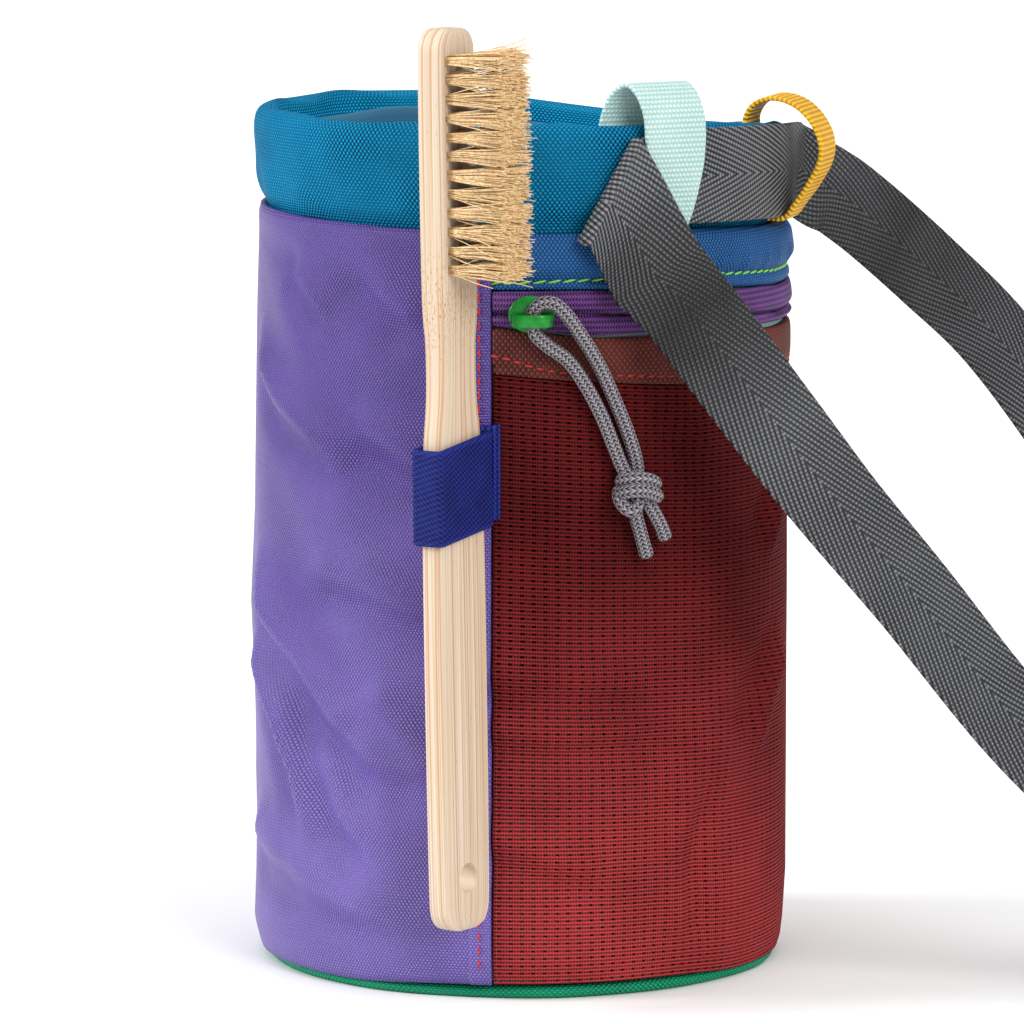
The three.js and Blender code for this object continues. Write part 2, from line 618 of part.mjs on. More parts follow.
function makeHandle() {
  const body = toSolid(skin(HANDLE.map(handleLoop)));
  const drill = new THREE.CylinderGeometry(BRUSH_HOLE / 2, BRUSH_HOLE / 2, 3 * BRUSH_THICKNESS, 16);
  drill.rotateZ(Math.PI / 2);
  drill.translate(0, 0, BRUSH_HOLE_HEIGHT * BRUSH_LENGTH);
  return piece("brush_handle", toGeometry(body.subtract(toSolid(drill))), 0xd8b98c, 0.6);
}

// Tufts in rows, each spreading until it meets its neighbours at the tips
function makeBristles() {
  const face = (HANDLE.at(-2).thickness * BRUSH_THICKNESS) / 2 + CLEARANCE;
  let solid = null;
  for (let row = 0; row < TUFT_ROWS; row++) {
    for (let column = 0; column < TUFT_COLUMNS; column++) {
      const side = column - (TUFT_COLUMNS - 1) / 2;
      const height = BRUSH_LENGTH - TUFT_TOP_MARGIN - row * TUFT_PITCH;
      const [tip, root] = [TUFT_TIP_SIZE * Math.SQRT1_2, TUFT_SIZE * Math.SQRT1_2];
      const tuft = new THREE.CylinderGeometry(tip, root, TUFT_LENGTH, 4, 1);
      tuft.rotateY(Math.PI / 4);
      tuft.rotateZ(-Math.PI / 2);
      tuft.translate(face + TUFT_LENGTH / 2, side * TUFT_SPACING, height);
      const next = toSolid(tuft);
      solid = solid ? solid.add(next) : next;
    }
  }
  return piece("brush_bristles", toGeometry(solid), 0xd9b36c, 0.8);
}

// Rounded rectangle outline, half sizes given
function roundedOutline(path, halfX, halfY, radius) {
  path.moveTo(halfX, -halfY + radius);
  path.absarc(halfX - radius, halfY - radius, radius, 0, Math.PI / 2);
  path.absarc(-halfX + radius, halfY - radius, radius, Math.PI / 2, Math.PI);
  path.absarc(-halfX + radius, -halfY + radius, radius, Math.PI, 1.5 * Math.PI);
  path.absarc(halfX - radius, -halfY + radius, radius, 1.5 * Math.PI, 2 * Math.PI);
  return path;
}

// Places a shape made in the brush's own frame: bristles along +X, width along +Y, butt at z = 0
function brushMatrix() {
  const foot = at(BRUSH_TURN, BAG_RADIUS + BRUSH_STAND_OFF, BRUSH_BUTT_HEIGHT);
  const place = new THREE.Matrix4().makeTranslation(foot.x, foot.y, foot.z);
  const lean = new THREE.Matrix4().makeRotationY(THREE.MathUtils.degToRad(-BRUSH_TILT));
  const spin = new THREE.Matrix4().makeRotationZ(THREE.MathUtils.degToRad(BRUSH_FACE_TURN - 90));
  return place.multiply(lean).multiply(spin);
}

// Royal blue elastic: a band round the handle and the tab that is sewn over the front seam
function makeBrushLoop() {
  const halfX = BRUSH_THICKNESS / 2 + BRUSH_SLIDE_PLAY;
  const halfY = BRUSH_WIDTH / 2 + BRUSH_SLIDE_PLAY;
  const outline = roundedOutline(new THREE.Shape(), halfX + ELASTIC_WALL, halfY + ELASTIC_WALL, ELASTIC_CORNER);
  outline.holes.push(roundedOutline(new THREE.Path(), halfX, halfY, BRUSH_EDGE));
  const band = new THREE.ExtrudeGeometry(outline, {
    depth: ELASTIC_WIDTH,
    bevelEnabled: false,
    curveSegments: 3,
  });
  band.translate(0, 0, ELASTIC_HEIGHT - BRUSH_BUTT_HEIGHT);
  band.applyMatrix4(new THREE.Matrix4().set(1, 0, 0, 0, 0, 1, 0, 0, 0, ELASTIC_RISE, 1, 0, 0, 0, 0, 1));
  band.applyMatrix4(brushMatrix());

  const seat = BAG_RADIUS + HEM_WALL + CLEARANCE;
  const rows = (turn) => {
    const arc = BAG_RADIUS * THREE.MathUtils.degToRad(turn - BRUSH_TURN);
    const bottom = ELASTIC_HEIGHT + ELASTIC_RISE * (BRUSH_WIDTH / 2 + TAB_WALL + arc);
    return [bottom, bottom + ELASTIC_WIDTH];
  };
  const tab = skin(
    [0, 0.25, 0.5, 0.75, 1].map((share) => {
      const turn = THREE.MathUtils.lerp(TAB_START_TURN, TAB_END_TURN, share);
      const outer = rows(turn).map((height) => at(turn, seat + TAB_WALL, height));
      const inner = rows(turn).map((height) => at(turn, seat, height));
      return [...outer, ...inner.reverse()];
    }),
  );
  return piece("brush_loop", toGeometry(toSolid(band).add(toSolid(tab))), 0x1c2c8c);
}

// A strap's section from its centre, the direction across its width and the way it runs
function strapLoop(centre, across, ahead, halfWidth, wall) {
  const normal = new THREE.Vector3().crossVectors(ahead, across).normalize();
  const half = across.clone().setLength(halfWidth);
  const face = normal.multiplyScalar(wall / 2);
  return [
    centre.clone().add(half).add(face),
    centre.clone().sub(half).add(face),
    centre.clone().sub(half).sub(face),
    centre.clone().add(half).sub(face),
  ];
}

// Loops along a free strand. The width stays in the vertical plane of the run, tipped by the lean.
function strandLoops(rows, steps) {
  const floor = BELT_WIDTH / 2 + BUCKLE_WALL;
  const points = rows.map(({ across, along, up }) => {
    const height = Math.max(up * RIM_HEIGHT, floor);
    return new THREE.Vector3(across * BAG_RADIUS, along * BAG_RADIUS, height);
  });
  const curve = new THREE.CatmullRomCurve3(points, false, "centripetal");
  const loops = [];
  for (let i = 0; i <= steps; i++) {
    const share = i / steps;
    const ahead = curve.getTangent(share);
    const place = share * (rows.length - 1);
    const low = rows[Math.floor(place)];
    const high = rows[Math.min(Math.floor(place) + 1, rows.length - 1)];
    const lean = THREE.MathUtils.lerp(low.lean, high.lean, place % 1);
    const side = new THREE.Vector3().crossVectors(ahead, new THREE.Vector3(0, 0, 1)).normalize();
    const across = new THREE.Vector3().crossVectors(side, ahead);
    const towardsFront = Math.sign(-side.y) || 1;
    across.applyAxisAngle(ahead, THREE.MathUtils.degToRad(lean) * -towardsFront);
    loops.push(strapLoop(curve.getPoint(share), across, ahead, BELT_WIDTH / 2, BELT_WALL));
  }
  return loops;
}

// Loops round the soft fold at the mint loop, from the front strand back to the collar
function foldLoops(beltRadius) {
  const frontRadius = beltRadius + BELT_WALL + LOOP_WALL + 3 * CLEARANCE;
  const turnRadius = (frontRadius - beltRadius) / 2;
  const centre = at(FOLD_TURN, (frontRadius + beltRadius) / 2, RIM_HEIGHT - BELT_DROP - FOLD_DROP);
  const angle = THREE.MathUtils.degToRad(FOLD_TURN);
  const out = new THREE.Vector3(Math.sin(angle), -Math.cos(angle), 0);
  const tangent = new THREE.Vector3(Math.cos(angle), Math.sin(angle), 0);
  const lean = THREE.MathUtils.degToRad(FOLD_LEAN);
  const line = tangent.clone().multiplyScalar(Math.sin(lean)).setZ(Math.cos(lean));
  const leftwards = new THREE.Vector3().crossVectors(line, out).normalize();
  if (leftwards.x > 0) leftwards.negate();
  const halfLength = BELT_WIDTH / 2 / Math.cos(lean);
  const loops = [];
  for (let i = 0; i <= 6; i++) {
    const bend = (Math.PI * i) / 6;
    const swing = out.clone().multiplyScalar(Math.cos(bend)).addScaledVector(leftwards, Math.sin(bend));
    const ahead = leftwards.clone().multiplyScalar(Math.cos(bend)).addScaledVector(out, -Math.sin(bend));
    const point = centre.clone().addScaledVector(swing, turnRadius);
    loops.push(strapLoop(point, line, ahead, halfLength, BELT_WALL));
  }
  return loops;
}

// Grey webbing belt: buckle, front strand, fold, round the collar, back strand, buckle
function makeBelt() {
  const beltRadius = BAG_RADIUS + CLEARANCE + BELT_WALL / 2;
  const collarLoops = [29, 36, 44, 52, 60, 68, 75, 81].map((turn) => {
    const angle = THREE.MathUtils.degToRad(turn);
    const ahead = new THREE.Vector3(Math.cos(angle), Math.sin(angle), 0);
    const centre = at(turn, beltRadius, RIM_HEIGHT - BELT_DROP);
    return strapLoop(centre, new THREE.Vector3(0, 0, 1), ahead, BELT_WIDTH / 2, BELT_WALL);
  });
  const loops = [
    ...strandLoops(FRONT_STRAND, 26),
    ...foldLoops(beltRadius),
    ...collarLoops,
    ...strandLoops(BACK_STRAND, 30),
  ];
  return piece("belt", skin(loops), 0x54565a);
}

// Plain buckle that closes the belt behind, a block with a slot at each end for the webbing
function makeBuckle() {
  const height = BELT_WIDTH + 2 * BUCKLE_WALL;
  const depth = BELT_WALL + 2 * BUCKLE_WALL;
  const beltEnd = Math.abs(FRONT_STRAND[0].along) * BAG_RADIUS;
  const block = new THREE.BoxGeometry(depth, 2 * (beltEnd + BUCKLE_GRIP), height);
  const [slotDepth, slotHeight] = [BELT_WALL + 2 * CLEARANCE, BELT_WIDTH + 2 * CLEARANCE];
  const slotLength = 2 * (BUCKLE_GRIP + CLEARANCE);
  let solid = toSolid(block);
  for (const side of [-1, 1]) {
    const slot = new THREE.BoxGeometry(slotDepth, slotLength, slotHeight);
    slot.translate(0, side * (beltEnd + BUCKLE_GRIP), 0);
    solid = solid.subtract(toSolid(slot));
  }
  const mesh = piece("belt_buckle", toGeometry(solid), 0x2b2c2e, 0.5);
  mesh.position.set(FRONT_STRAND[0].across * BAG_RADIUS, 0, height / 2);
  return mesh;
}

// A belt loop of webbing, standing in planes through the bag's axis
function makeBeltLoop(name, route, width, color) {
  const curve = new THREE.CatmullRomCurve3(
    route.map(({ turn, out, up }) => at(turn, BAG_RADIUS + out * BELT_WIDTH, RIM_HEIGHT + up * COLLAR_HEIGHT)),
    false,
    "centripetal",
  );
  const steps = 16;
  const loops = [];
  for (let i = 0; i <= steps; i++) {
    const share = i / steps;
    const row = route[Math.round(share * (route.length - 1))];
    const angle = THREE.MathUtils.degToRad(row.turn);
    const across = new THREE.Vector3(Math.cos(angle), Math.sin(angle), 0);
    const halfWidth = (row.width * width) / 2;
    loops.push(strapLoop(curve.getPoint(share), across, curve.getTangent(share), halfWidth, LOOP_WALL));
  }
  return piece(name, skin(loops), color);
}

// Green slider: an oval plate on the zip and a bridge that the cord goes under
function makeSlider() {
  const seat = tapeRadius + ZIP_CHAIN + CLEARANCE;
  const plate = new THREE.CylinderGeometry(SLIDER_WIDTH / 2, SLIDER_WIDTH / 2, SLIDER_WALL, 20);
  plate.scale(1, 1, SLIDER_HEIGHT / SLIDER_WIDTH);
  plate.translate(0, -seat - SLIDER_WALL / 2, 0);
  const gap = CORD_DIAMETER + 2 * CLEARANCE;
  const legX = SLIDER_WIDTH / 2 - BRIDGE_WALL;
  const base = seat + SLIDER_WALL / 2;
  const crown = seat + SLIDER_WALL + gap;
  const top = crown + BRIDGE_WALL;
  const arch = new THREE.Shape();
  arch.moveTo(-legX, -base);
  arch.lineTo(-legX, -crown + BRIDGE_WALL);
  arch.quadraticCurveTo(-legX, -top, -legX + BRIDGE_CORNER, -top);
  arch.lineTo(legX - BRIDGE_CORNER, -top);
  arch.quadraticCurveTo(legX, -top, legX, -crown + BRIDGE_WALL);
  arch.lineTo(legX, -base);
  arch.lineTo(legX - BRIDGE_WALL, -base);
  arch.lineTo(legX - BRIDGE_WALL, -crown + BRIDGE_WALL);
  arch.lineTo(legX - BRIDGE_CORNER, -crown);
  arch.lineTo(-legX + BRIDGE_CORNER, -crown);
  arch.lineTo(-legX + BRIDGE_WALL, -crown + BRIDGE_WALL);
  arch.lineTo(-legX + BRIDGE_WALL, -base);
  arch.closePath();
  const bridge = new THREE.ExtrudeGeometry(arch, { depth: BRIDGE_WIDTH, bevelEnabled: false, curveSegments: 4 });
  bridge.translate(0, 0, -BRIDGE_WIDTH / 2 - BRIDGE_DROP);
  const mesh = piece("zip_slider", toGeometry(toSolid(plate).add(toSolid(bridge))), 0x0f9a35, 0.35);
  mesh.rotation.z = THREE.MathUtils.degToRad(SLIDER_TURN);
  mesh.position.z = seam("zip", SLIDER_TURN) + 0.1;
  return mesh;
}

// A stretch of cord along a route
function makeCord(name, route, steps) {
  const points = route.map(({ turn, radius, height }) => at(turn, radius, height));
  const section = new THREE.Shape().absarc(0, 0, CORD_DIAMETER / 2, 0, 2 * Math.PI);
  const path = new THREE.CatmullRomCurve3(points, false, "centripetal");
  const geometry = new THREE.ExtrudeGeometry(section, { steps, extrudePath: path, curveSegments: 4 });
  return piece(name, geometry, 0x5c585e);
}

function makeKnot() {
  const geometry = new THREE.SphereGeometry(KNOT_WIDTH / 2, 12, 8);
  geometry.scale(1, 0.86, 0.96);
  const mesh = piece("pull_knot", geometry, 0x5c585e);
  mesh.position.copy(at(KNOT_PLACE.turn, KNOT_PLACE.radius, KNOT_PLACE.height));
  mesh.rotation.z = THREE.MathUtils.degToRad(KNOT_PLACE.turn);
  return mesh;
}

const brush = new THREE.Group();
brush.applyMatrix4(brushMatrix());
brush.add(makeHandle(), makeBristles());

const bag = new THREE.Group();
bag.add(
  makeBase(),
  makeShell(),
  makePocketPanel(),
  makeMesh(),
  makeBinding(),
  makeZipTape("zip_tape_upper", upperTapeEdges),
  makeZipTape("zip_tape_lower", lowerTapeEdges),
  makeZipBand(),
  makeCollar(),
  makeLining(),
  makeBrushLoop(),
  makeBelt(),
  makeBuckle(),
  makeBeltLoop("mint_loop", MINT_ROUTE, MINT_WIDTH, 0xa9e0cf),
  makeBeltLoop("mustard_loop", MUSTARD_ROUTE, MUSTARD_WIDTH, 0xc88a1e),
  makeSlider(),
  makeCord("pull_cord", CORD_ROUTE, 27),
  makeCord("cord_tail_left", LEFT_TAIL_ROUTE, 3),
  makeCord("cord_tail_right", RIGHT_TAIL_ROUTE, 3),
  makeKnot(),
  brush,
);

export default bag;
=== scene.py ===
"""A climbing chalk bag with a zipped mesh pocket, a webbing belt and a brush in an elastic loop."""

import math

import bpy
import numpy as np
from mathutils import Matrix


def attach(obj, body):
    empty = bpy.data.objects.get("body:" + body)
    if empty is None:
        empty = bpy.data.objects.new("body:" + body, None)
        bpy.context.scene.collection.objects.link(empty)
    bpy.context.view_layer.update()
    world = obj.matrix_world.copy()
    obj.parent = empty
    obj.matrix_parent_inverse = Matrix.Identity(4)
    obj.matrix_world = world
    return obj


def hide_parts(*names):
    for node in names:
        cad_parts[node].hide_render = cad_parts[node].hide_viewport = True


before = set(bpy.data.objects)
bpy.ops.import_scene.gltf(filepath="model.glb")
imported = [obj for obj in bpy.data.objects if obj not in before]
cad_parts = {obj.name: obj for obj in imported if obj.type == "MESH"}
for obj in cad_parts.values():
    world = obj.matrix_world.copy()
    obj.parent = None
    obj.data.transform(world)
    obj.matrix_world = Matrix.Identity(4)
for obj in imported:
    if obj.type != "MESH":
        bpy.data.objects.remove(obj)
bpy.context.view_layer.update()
MM = 0.001


# Studio. The photograph looks slightly down at the bag from a metre and a half. The floor is pale
# and plain, lit by a softbox at the bag's left, a broader one at the camera's right and soft light above.
VIEW_PITCH = 7.73
camera_data = bpy.data.cameras.new("camera")
camera_data.sensor_width = 36
camera_data.lens = 244.8
camera = bpy.data.objects.new("camera", camera_data)
camera.location = (-2 * MM, -1500 * MM, 300 * MM)
camera.rotation_euler = (math.radians(90 - VIEW_PITCH), 0, 0)
bpy.context.scene.collection.objects.link(camera)
bpy.context.scene.camera = camera
bpy.context.scene.view_settings.view_transform = "Standard"

room = bpy.data.worlds.new("room")
room.use_nodes = True
room.node_tree.nodes["Background"].inputs["Color"].default_value = (1, 1, 1, 1)
room.node_tree.nodes["Background"].inputs["Strength"].default_value = 0.38
bpy.context.scene.world = room

for light_name, strength, softness, turn_left, turn_down in (
    ("left_softbox", 2.5, 20, -84, 24),
    ("right_softbox", 1.75, 32, 34, 28),
    ("top_light", 1.75, 100, 0, 90),
):
    light = bpy.data.lights.new(light_name, "SUN")
    light.energy = strength
    light.angle = math.radians(softness)
    lamp = bpy.data.objects.new(light_name, light)
    lamp.rotation_euler = (math.radians(90 - turn_down), 0, math.radians(turn_left))
    bpy.context.scene.collection.objects.link(lamp)

bpy.ops.mesh.primitive_plane_add(size=24)
floor = bpy.context.object
floor.name = "floor"
pale = bpy.data.materials.new("pale_floor")
pale.use_nodes = True
pale.node_tree.nodes["Principled BSDF"].inputs["Base Color"].default_value = (0.9, 0.9, 0.9, 1)
pale.node_tree.nodes["Principled BSDF"].inputs["Roughness"].default_value = 0.9
floor.data.materials.append(pale)


# Pull cord. One grey braided cord is doubled through the slider's bridge and tied in an overhand knot
# with two short cut tails. It is built as two lengths, which meet under the bridge.
CORD_DIAMETER = 3.0
BRAID_PITCH = 0.95
UPPER_CORD = [
    (2.0, 61.3, 144.8), (2.4, 61.8, 146.9), (3.8, 62.4, 148.5), (6.0, 62.7, 148.5), (8.4, 62.5, 146.3),
    (11.8, 61.4, 141.3), (15.4, 60.6, 135.2), (19.0, 60.3, 127.2), (21.8, 60.4, 120.0), (23.3, 60.7, 114.2),
    (23.2, 61.3, 110.5), (22.6, 61.6, 107.0), (22.9, 61.4, 103.6), (24.2, 61.0, 99.2), (25.8, 60.4, 94.4),
]
LOWER_CORD = [
    (2.0, 61.3, 144.8), (2.7, 61.4, 141.9), (5.2, 61.3, 139.4), (9.0, 60.7, 136.4), (12.6, 60.5, 131.2),
    (16.0, 60.4, 124.6), (18.6, 60.5, 118.0), (20.0, 60.8, 114.2), (21.5, 62.0, 110.6), (24.2, 62.6, 107.4),
    (26.1, 62.5, 104.3), (27.9, 62.0, 101.3), (29.4, 61.5, 98.1),
]


def grid_of(*parts):
    """Points or UV rows from their coordinates, each spread over the same grid."""
    return np.stack(np.broadcast_arrays(*parts), -1)


def around(turn, radius, height):
    """Points by their turn from the front towards +X, distance from the bag's axis and height."""
    angle = np.radians(turn)
    return grid_of(radius * np.sin(angle), -radius * np.cos(angle), height)


def curve_through(points, steps):
    """Points of a centripetal curve through the given ones, at equal shares of its rows."""
    rows = np.asarray(points, float)
    rows = np.vstack([2 * rows[0] - rows[1], rows, 2 * rows[-1] - rows[-2]])
    made = []
    for share in np.linspace(0, len(points) - 1, steps + 1):
        i = min(int(share), len(points) - 2)
        p0, p1, p2, p3 = rows[i : i + 4]
        d0, d1, d2 = (max(np.linalg.norm(b - a), 1e-9) ** 0.5 for a, b in ((p0, p1), (p1, p2), (p2, p3)))
        t1 = ((p1 - p0) / d0 - (p2 - p0) / (d0 + d1) + (p2 - p1) / d1) * d1
        t2 = ((p2 - p1) / d1 - (p3 - p1) / (d1 + d2) + (p3 - p2) / d2) * d1
        w = share - i
        cubic = 2 * p1 - 2 * p2 + t1 + t2
        square = -3 * p1 + 3 * p2 - 2 * t1 - t2
        made.append(p1 + t1 * w + square * w * w + cubic * w**3)
    return np.array(made)


def run_of(line):
    """The distance along a line at each of its points."""
    return np.concatenate([[0], np.cumsum(np.linalg.norm(np.diff(line, axis=0), axis=1))])


def evenly(line, step):
    """A line again, with points an even step apart."""
    run = run_of(line)
    places = np.linspace(0, run[-1], max(2, round(run[-1] / step)) + 1)
    return np.stack([np.interp(places, run, line[:, k]) for k in range(line.shape[1])], -1)


def unit(vectors):
    return vectors / np.maximum(np.linalg.norm(vectors, axis=-1, keepdims=True), 1e-12)


def closed(rows):
    return np.vstack([rows, rows[:1]])


def spun(degrees):
    """The axes after a turn about the vertical, as the rows of a matrix."""
    angle = math.radians(degrees)
    return np.array([[math.cos(angle), math.sin(angle), 0], [-math.sin(angle), math.cos(angle), 0], [0, 0, 1]])


def solid(name, loops, uv, ring=False):
    """A closed mesh over loops of equally many points in millimetres, with a UV map in millimetres.
    A ring of loops closes on itself, and otherwise both ends are filled in strips."""
    loops = np.asarray(loops, float)
    n, m = loops.shape[:2]
    index = np.arange(n * m).reshape(n, m)
    rows = closed(index) if ring else index
    grid = np.hstack([rows, rows[:, :1]])
    uv = np.broadcast_to(uv, (len(rows), m + 1, 2))

    def cells(a):
        return np.stack([a[:-1, :-1], a[1:, :-1], a[1:, 1:], a[:-1, 1:]], 2).reshape(-1, 4, *a.shape[2:])

    faces, face_uv = [cells(grid)], [cells(uv)]
    if not ring:
        j = np.arange(m // 2 - 1)
        for row, order in ((0, 1), (n - 1, -1)):
            strip = np.stack([j, j + 1, m - 2 - j, m - 1 - j], -1)[:, ::order]
            faces.append(index[row][strip])
            face_uv.append(uv[row][strip])
    faces, face_uv = np.concatenate(faces), np.concatenate(face_uv)
    points = loops.reshape(-1, 3)
    a, b, c, d = (points[faces[:, k]] for k in range(4))
    if (np.einsum("ij,ij->i", a, np.cross(b, c)) + np.einsum("ij,ij->i", a, np.cross(c, d))).sum() < 0:
        faces, face_uv = faces[:, ::-1], face_uv[:, ::-1]
    return plain_mesh(name, points, faces, face_uv)


def plain_mesh(name, points, faces, face_uv):
    """A smooth-shaded object from points in millimetres and its quads' corners."""
    mesh = bpy.data.meshes.new(name)
    mesh.from_pydata((points * MM).tolist(), [], faces.tolist())
    corners = np.ascontiguousarray(face_uv, np.float32).ravel()
    mesh.uv_layers.new(name="cloth").data.foreach_set("uv", corners)
    mesh.polygons.foreach_set("use_smooth", [True] * len(faces))
    made = bpy.data.objects.new(name, mesh)
    bpy.context.scene.collection.objects.link(made)
    return made


def joined(name, *pieces):
    """One object from several."""
    with bpy.context.temp_override(active_object=pieces[0], selected_editable_objects=list(pieces)):
        bpy.ops.object.join()
    pieces[0].name = pieces[0].data.name = name
    return pieces[0]


def cut_out(piece, cutter):
    """Takes a closed solid out of a piece and removes it."""
    cut = piece.modifiers.new("cut", "BOOLEAN")
    cut.object, cut.operation, cut.solver = cutter, "DIFFERENCE", "EXACT"
    mesh = bpy.data.meshes.new_from_object(piece.evaluated_get(bpy.context.evaluated_depsgraph_get()))
    piece.modifiers.clear()
    piece.data = mesh
    bpy.data.objects.remove(cutter)


def tube(name, line, radii, sides=18):
    """A round tube down a line, whose UV map is the distance along and the share of the way round."""
    ahead = unit(np.gradient(line, axis=0))
    side = unit(np.cross(ahead[0], [0.3, 0.2, 1.0]))
    sides_of = []
    for direction in ahead:
        side = unit(side - direction * (side @ direction))
        sides_of.append(side)
    first, second = np.array(sides_of), np.cross(ahead, np.array(sides_of))
    bend = np.linspace(0, 2 * math.pi, sides, endpoint=False)
    radii = np.broadcast_to(radii, len(line))[:, None, None]
    loops = line[:, None] + radii * (
        np.cos(bend)[None, :, None] * first[:, None] + np.sin(bend)[None, :, None] * second[:, None]
    )
    return solid(name, loops, grid_of(run_of(line)[:, None], np.linspace(0, 1, sides + 1)[None]))


class Value:
    """A socket of a node tree that Python's own operators work on."""

    def __init__(self, nodes, socket):
        self.nodes, self.socket = nodes, socket

    def math(self, operation, *others):
        inputs = dict(enumerate((self, *others)))
        return self.nodes.node("ShaderNodeMath", {"operation": operation}, inputs)

    def __add__(self, other):
        return self.math("ADD", other)

    def __sub__(self, other):
        return self.math("SUBTRACT", other)

    def __rsub__(self, other):
        return self * -1 + other

    def __mul__(self, other):
        return self.math("MULTIPLY", other)

    def __truediv__(self, other):
        return self.math("DIVIDE", other)

    def __pow__(self, other):
        return self.math("POWER", other)

    def __mod__(self, other):
        return self.math("FLOORED_MODULO", other)

    def __gt__(self, other):
        return self.math("GREATER_THAN", other)

    def __lt__(self, other):
        return self.math("LESS_THAN", other)

    def __abs__(self):
        return self.math("ABSOLUTE")

    __radd__, __rmul__ = __add__, __mul__


class Nodes:
    """A node tree. Every node that isn't an operator of Value comes from its one method."""

    def __init__(self, tree):
        self.tree = tree

    def node(self, kind, settings=None, inputs=None, output=0):
        made = self.tree.nodes.new(kind)
        for setting, value in (settings or {}).items():
            setattr(made, setting, value)
        for key, value in (inputs or {}).items():
            if isinstance(value, Value):
                self.tree.links.new(value.socket, made.inputs[key])
            else:
                made.inputs[key].default_value = value
        return Value(self, made.outputs[output])


STUDIO_LIGHT = 1.32


def paint(red, green, blue, times=1.0):
    """A colour as it looks in the picture, from 0 to 1, less the studio's light and so many times as light."""
    light = [c / 12.92 if c <= 0.04045 else ((c + 0.055) / 1.055) ** 2.4 for c in (red, green, blue)]
    return (*(min(c * times / STUDIO_LIGHT, 0.95) for c in light), 1.0)


class Finish(Nodes):
    """A material with one Principled shader. Sizes are in millimetres."""

    def __init__(self, name, **constants):
        self.material = bpy.data.materials.new(name)
        self.material.use_nodes = True
        super().__init__(self.material.node_tree)
        self.shader = self.tree.nodes["Principled BSDF"]
        self.shader.inputs["Specular IOR Level"].default_value = 0.22
        for socket, value in constants.items():
            self.shader.inputs[socket.replace("_", " ")].default_value = value

    def along_across(self):
        """The two directions of the piece's own cloth."""
        uv = self.node("ShaderNodeUVMap", {"uv_map": "cloth"})
        parts = self.node("ShaderNodeSeparateXYZ", inputs={0: uv})
        return parts, Value(self, parts.socket.node.outputs[1])

    def place(self, stretch=(1, 1, 1)):
        """The point of the piece in millimetres, stretched."""
        point = self.node("ShaderNodeTexCoord", output=3)
        scale = [s / MM for s in stretch]
        return self.node("ShaderNodeVectorMath", {"operation": "MULTIPLY"}, {0: point, 1: scale})

    def noise(self, size, detail=2.0, where=None):
        """Soft noise from 0 to 1 whose lumps are about that size."""
        where = where or self.place()
        settings = {"noise_dimensions": "3D"}
        inputs = {"Vector": where, "Scale": 1 / size, "Detail": detail}
        return self.node("ShaderNodeTexNoise", settings, inputs)

    def vector(self, x, y, z=0.0):
        return self.node("ShaderNodeCombineXYZ", inputs={0: x, 1: y, 2: z})

    def mix(self, share, first, second):
        """Two colours mixed by a share, which is kept between 0 and 1."""
        settings = {"data_type": "RGBA", "clamp_factor": True}
        return self.node("ShaderNodeMix", settings, {0: share, 6: first, 7: second}, 2)

    def weave(self, along, across, pitch_along, pitch_across):
        """A plain weave's threads, from -1 in the gaps to 1 on the floats."""
        return (along * (math.pi / pitch_along)).math("SINE") * (across * (math.pi / pitch_across)).math("SINE")

    def relief(self, height, depth):
        """Bumps whose height from 0 to 1 stands for that many millimetres."""
        bump = self.node("ShaderNodeBump", None, {"Strength": 1.0, "Distance": depth * MM, "Height": height})
        self.tree.links.new(bump.socket, self.shader.inputs["Normal"])

    def show(self, socket, value):
        self.tree.links.new(value.socket, self.shader.inputs[socket])


def dress(piece, finish, slot, body, *nodes):
    """Gives a piece its finish, puts it on its body and lets it stand for CAD nodes."""
    piece.data.materials.clear()
    piece.data.materials.append(finish.material)
    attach(piece, body)
    if nodes:
        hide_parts(*nodes)
    return piece


def braid():
    """Braided sleeve in greys, whose strands meet in columns of Vs."""
    finish = Finish("grey_braid", Roughness=0.7)
    along, share = finish.along_across()
    from_column = abs((share * 7.0) % 1.0 - 0.5)
    strands = ((along / BRAID_PITCH + from_column * 1.5) * (2 * math.pi)).math("SINE")
    columns = (share * (7.0 * 2 * math.pi)).math("COSINE")
    fibres = finish.noise(0.3, 2.0) - 0.5
    tone = strands * 0.34 + columns * -0.2 + 0.42 + fibres * 0.6
    finish.show("Base Color", finish.mix(tone, paint(0.13, 0.12, 0.15), paint(0.78, 0.75, 0.78)))
    finish.relief(strands * 0.3 + columns * -0.15 + 0.5, 0.35)
    return finish


grey_braid = braid()
cord_exit = tuple(around(*UPPER_CORD[0]) * MM)
cords = []
for cord_name, route, replaced in (
    ("pull_cord_upper", UPPER_CORD, ("pull_cord", "cord_tail_left")),
    ("pull_cord_lower", LOWER_CORD, ("cord_tail_right",)),
):
    line = evenly(curve_through([around(*row) for row in route], 160), 0.5)
    from_end = run_of(line)[-1] - run_of(line)
    fused = np.where(from_end < 0.4, 0.86, 1.0) * (1 + 0.05 * np.exp(-((from_end - 1.2) / 0.5) ** 2))
    cord = tube(cord_name, line, CORD_DIAMETER / 2 * fused)
    dress(cord, grey_braid, "cord_braid", "bag", *replaced)
    cords.append((cord, line))


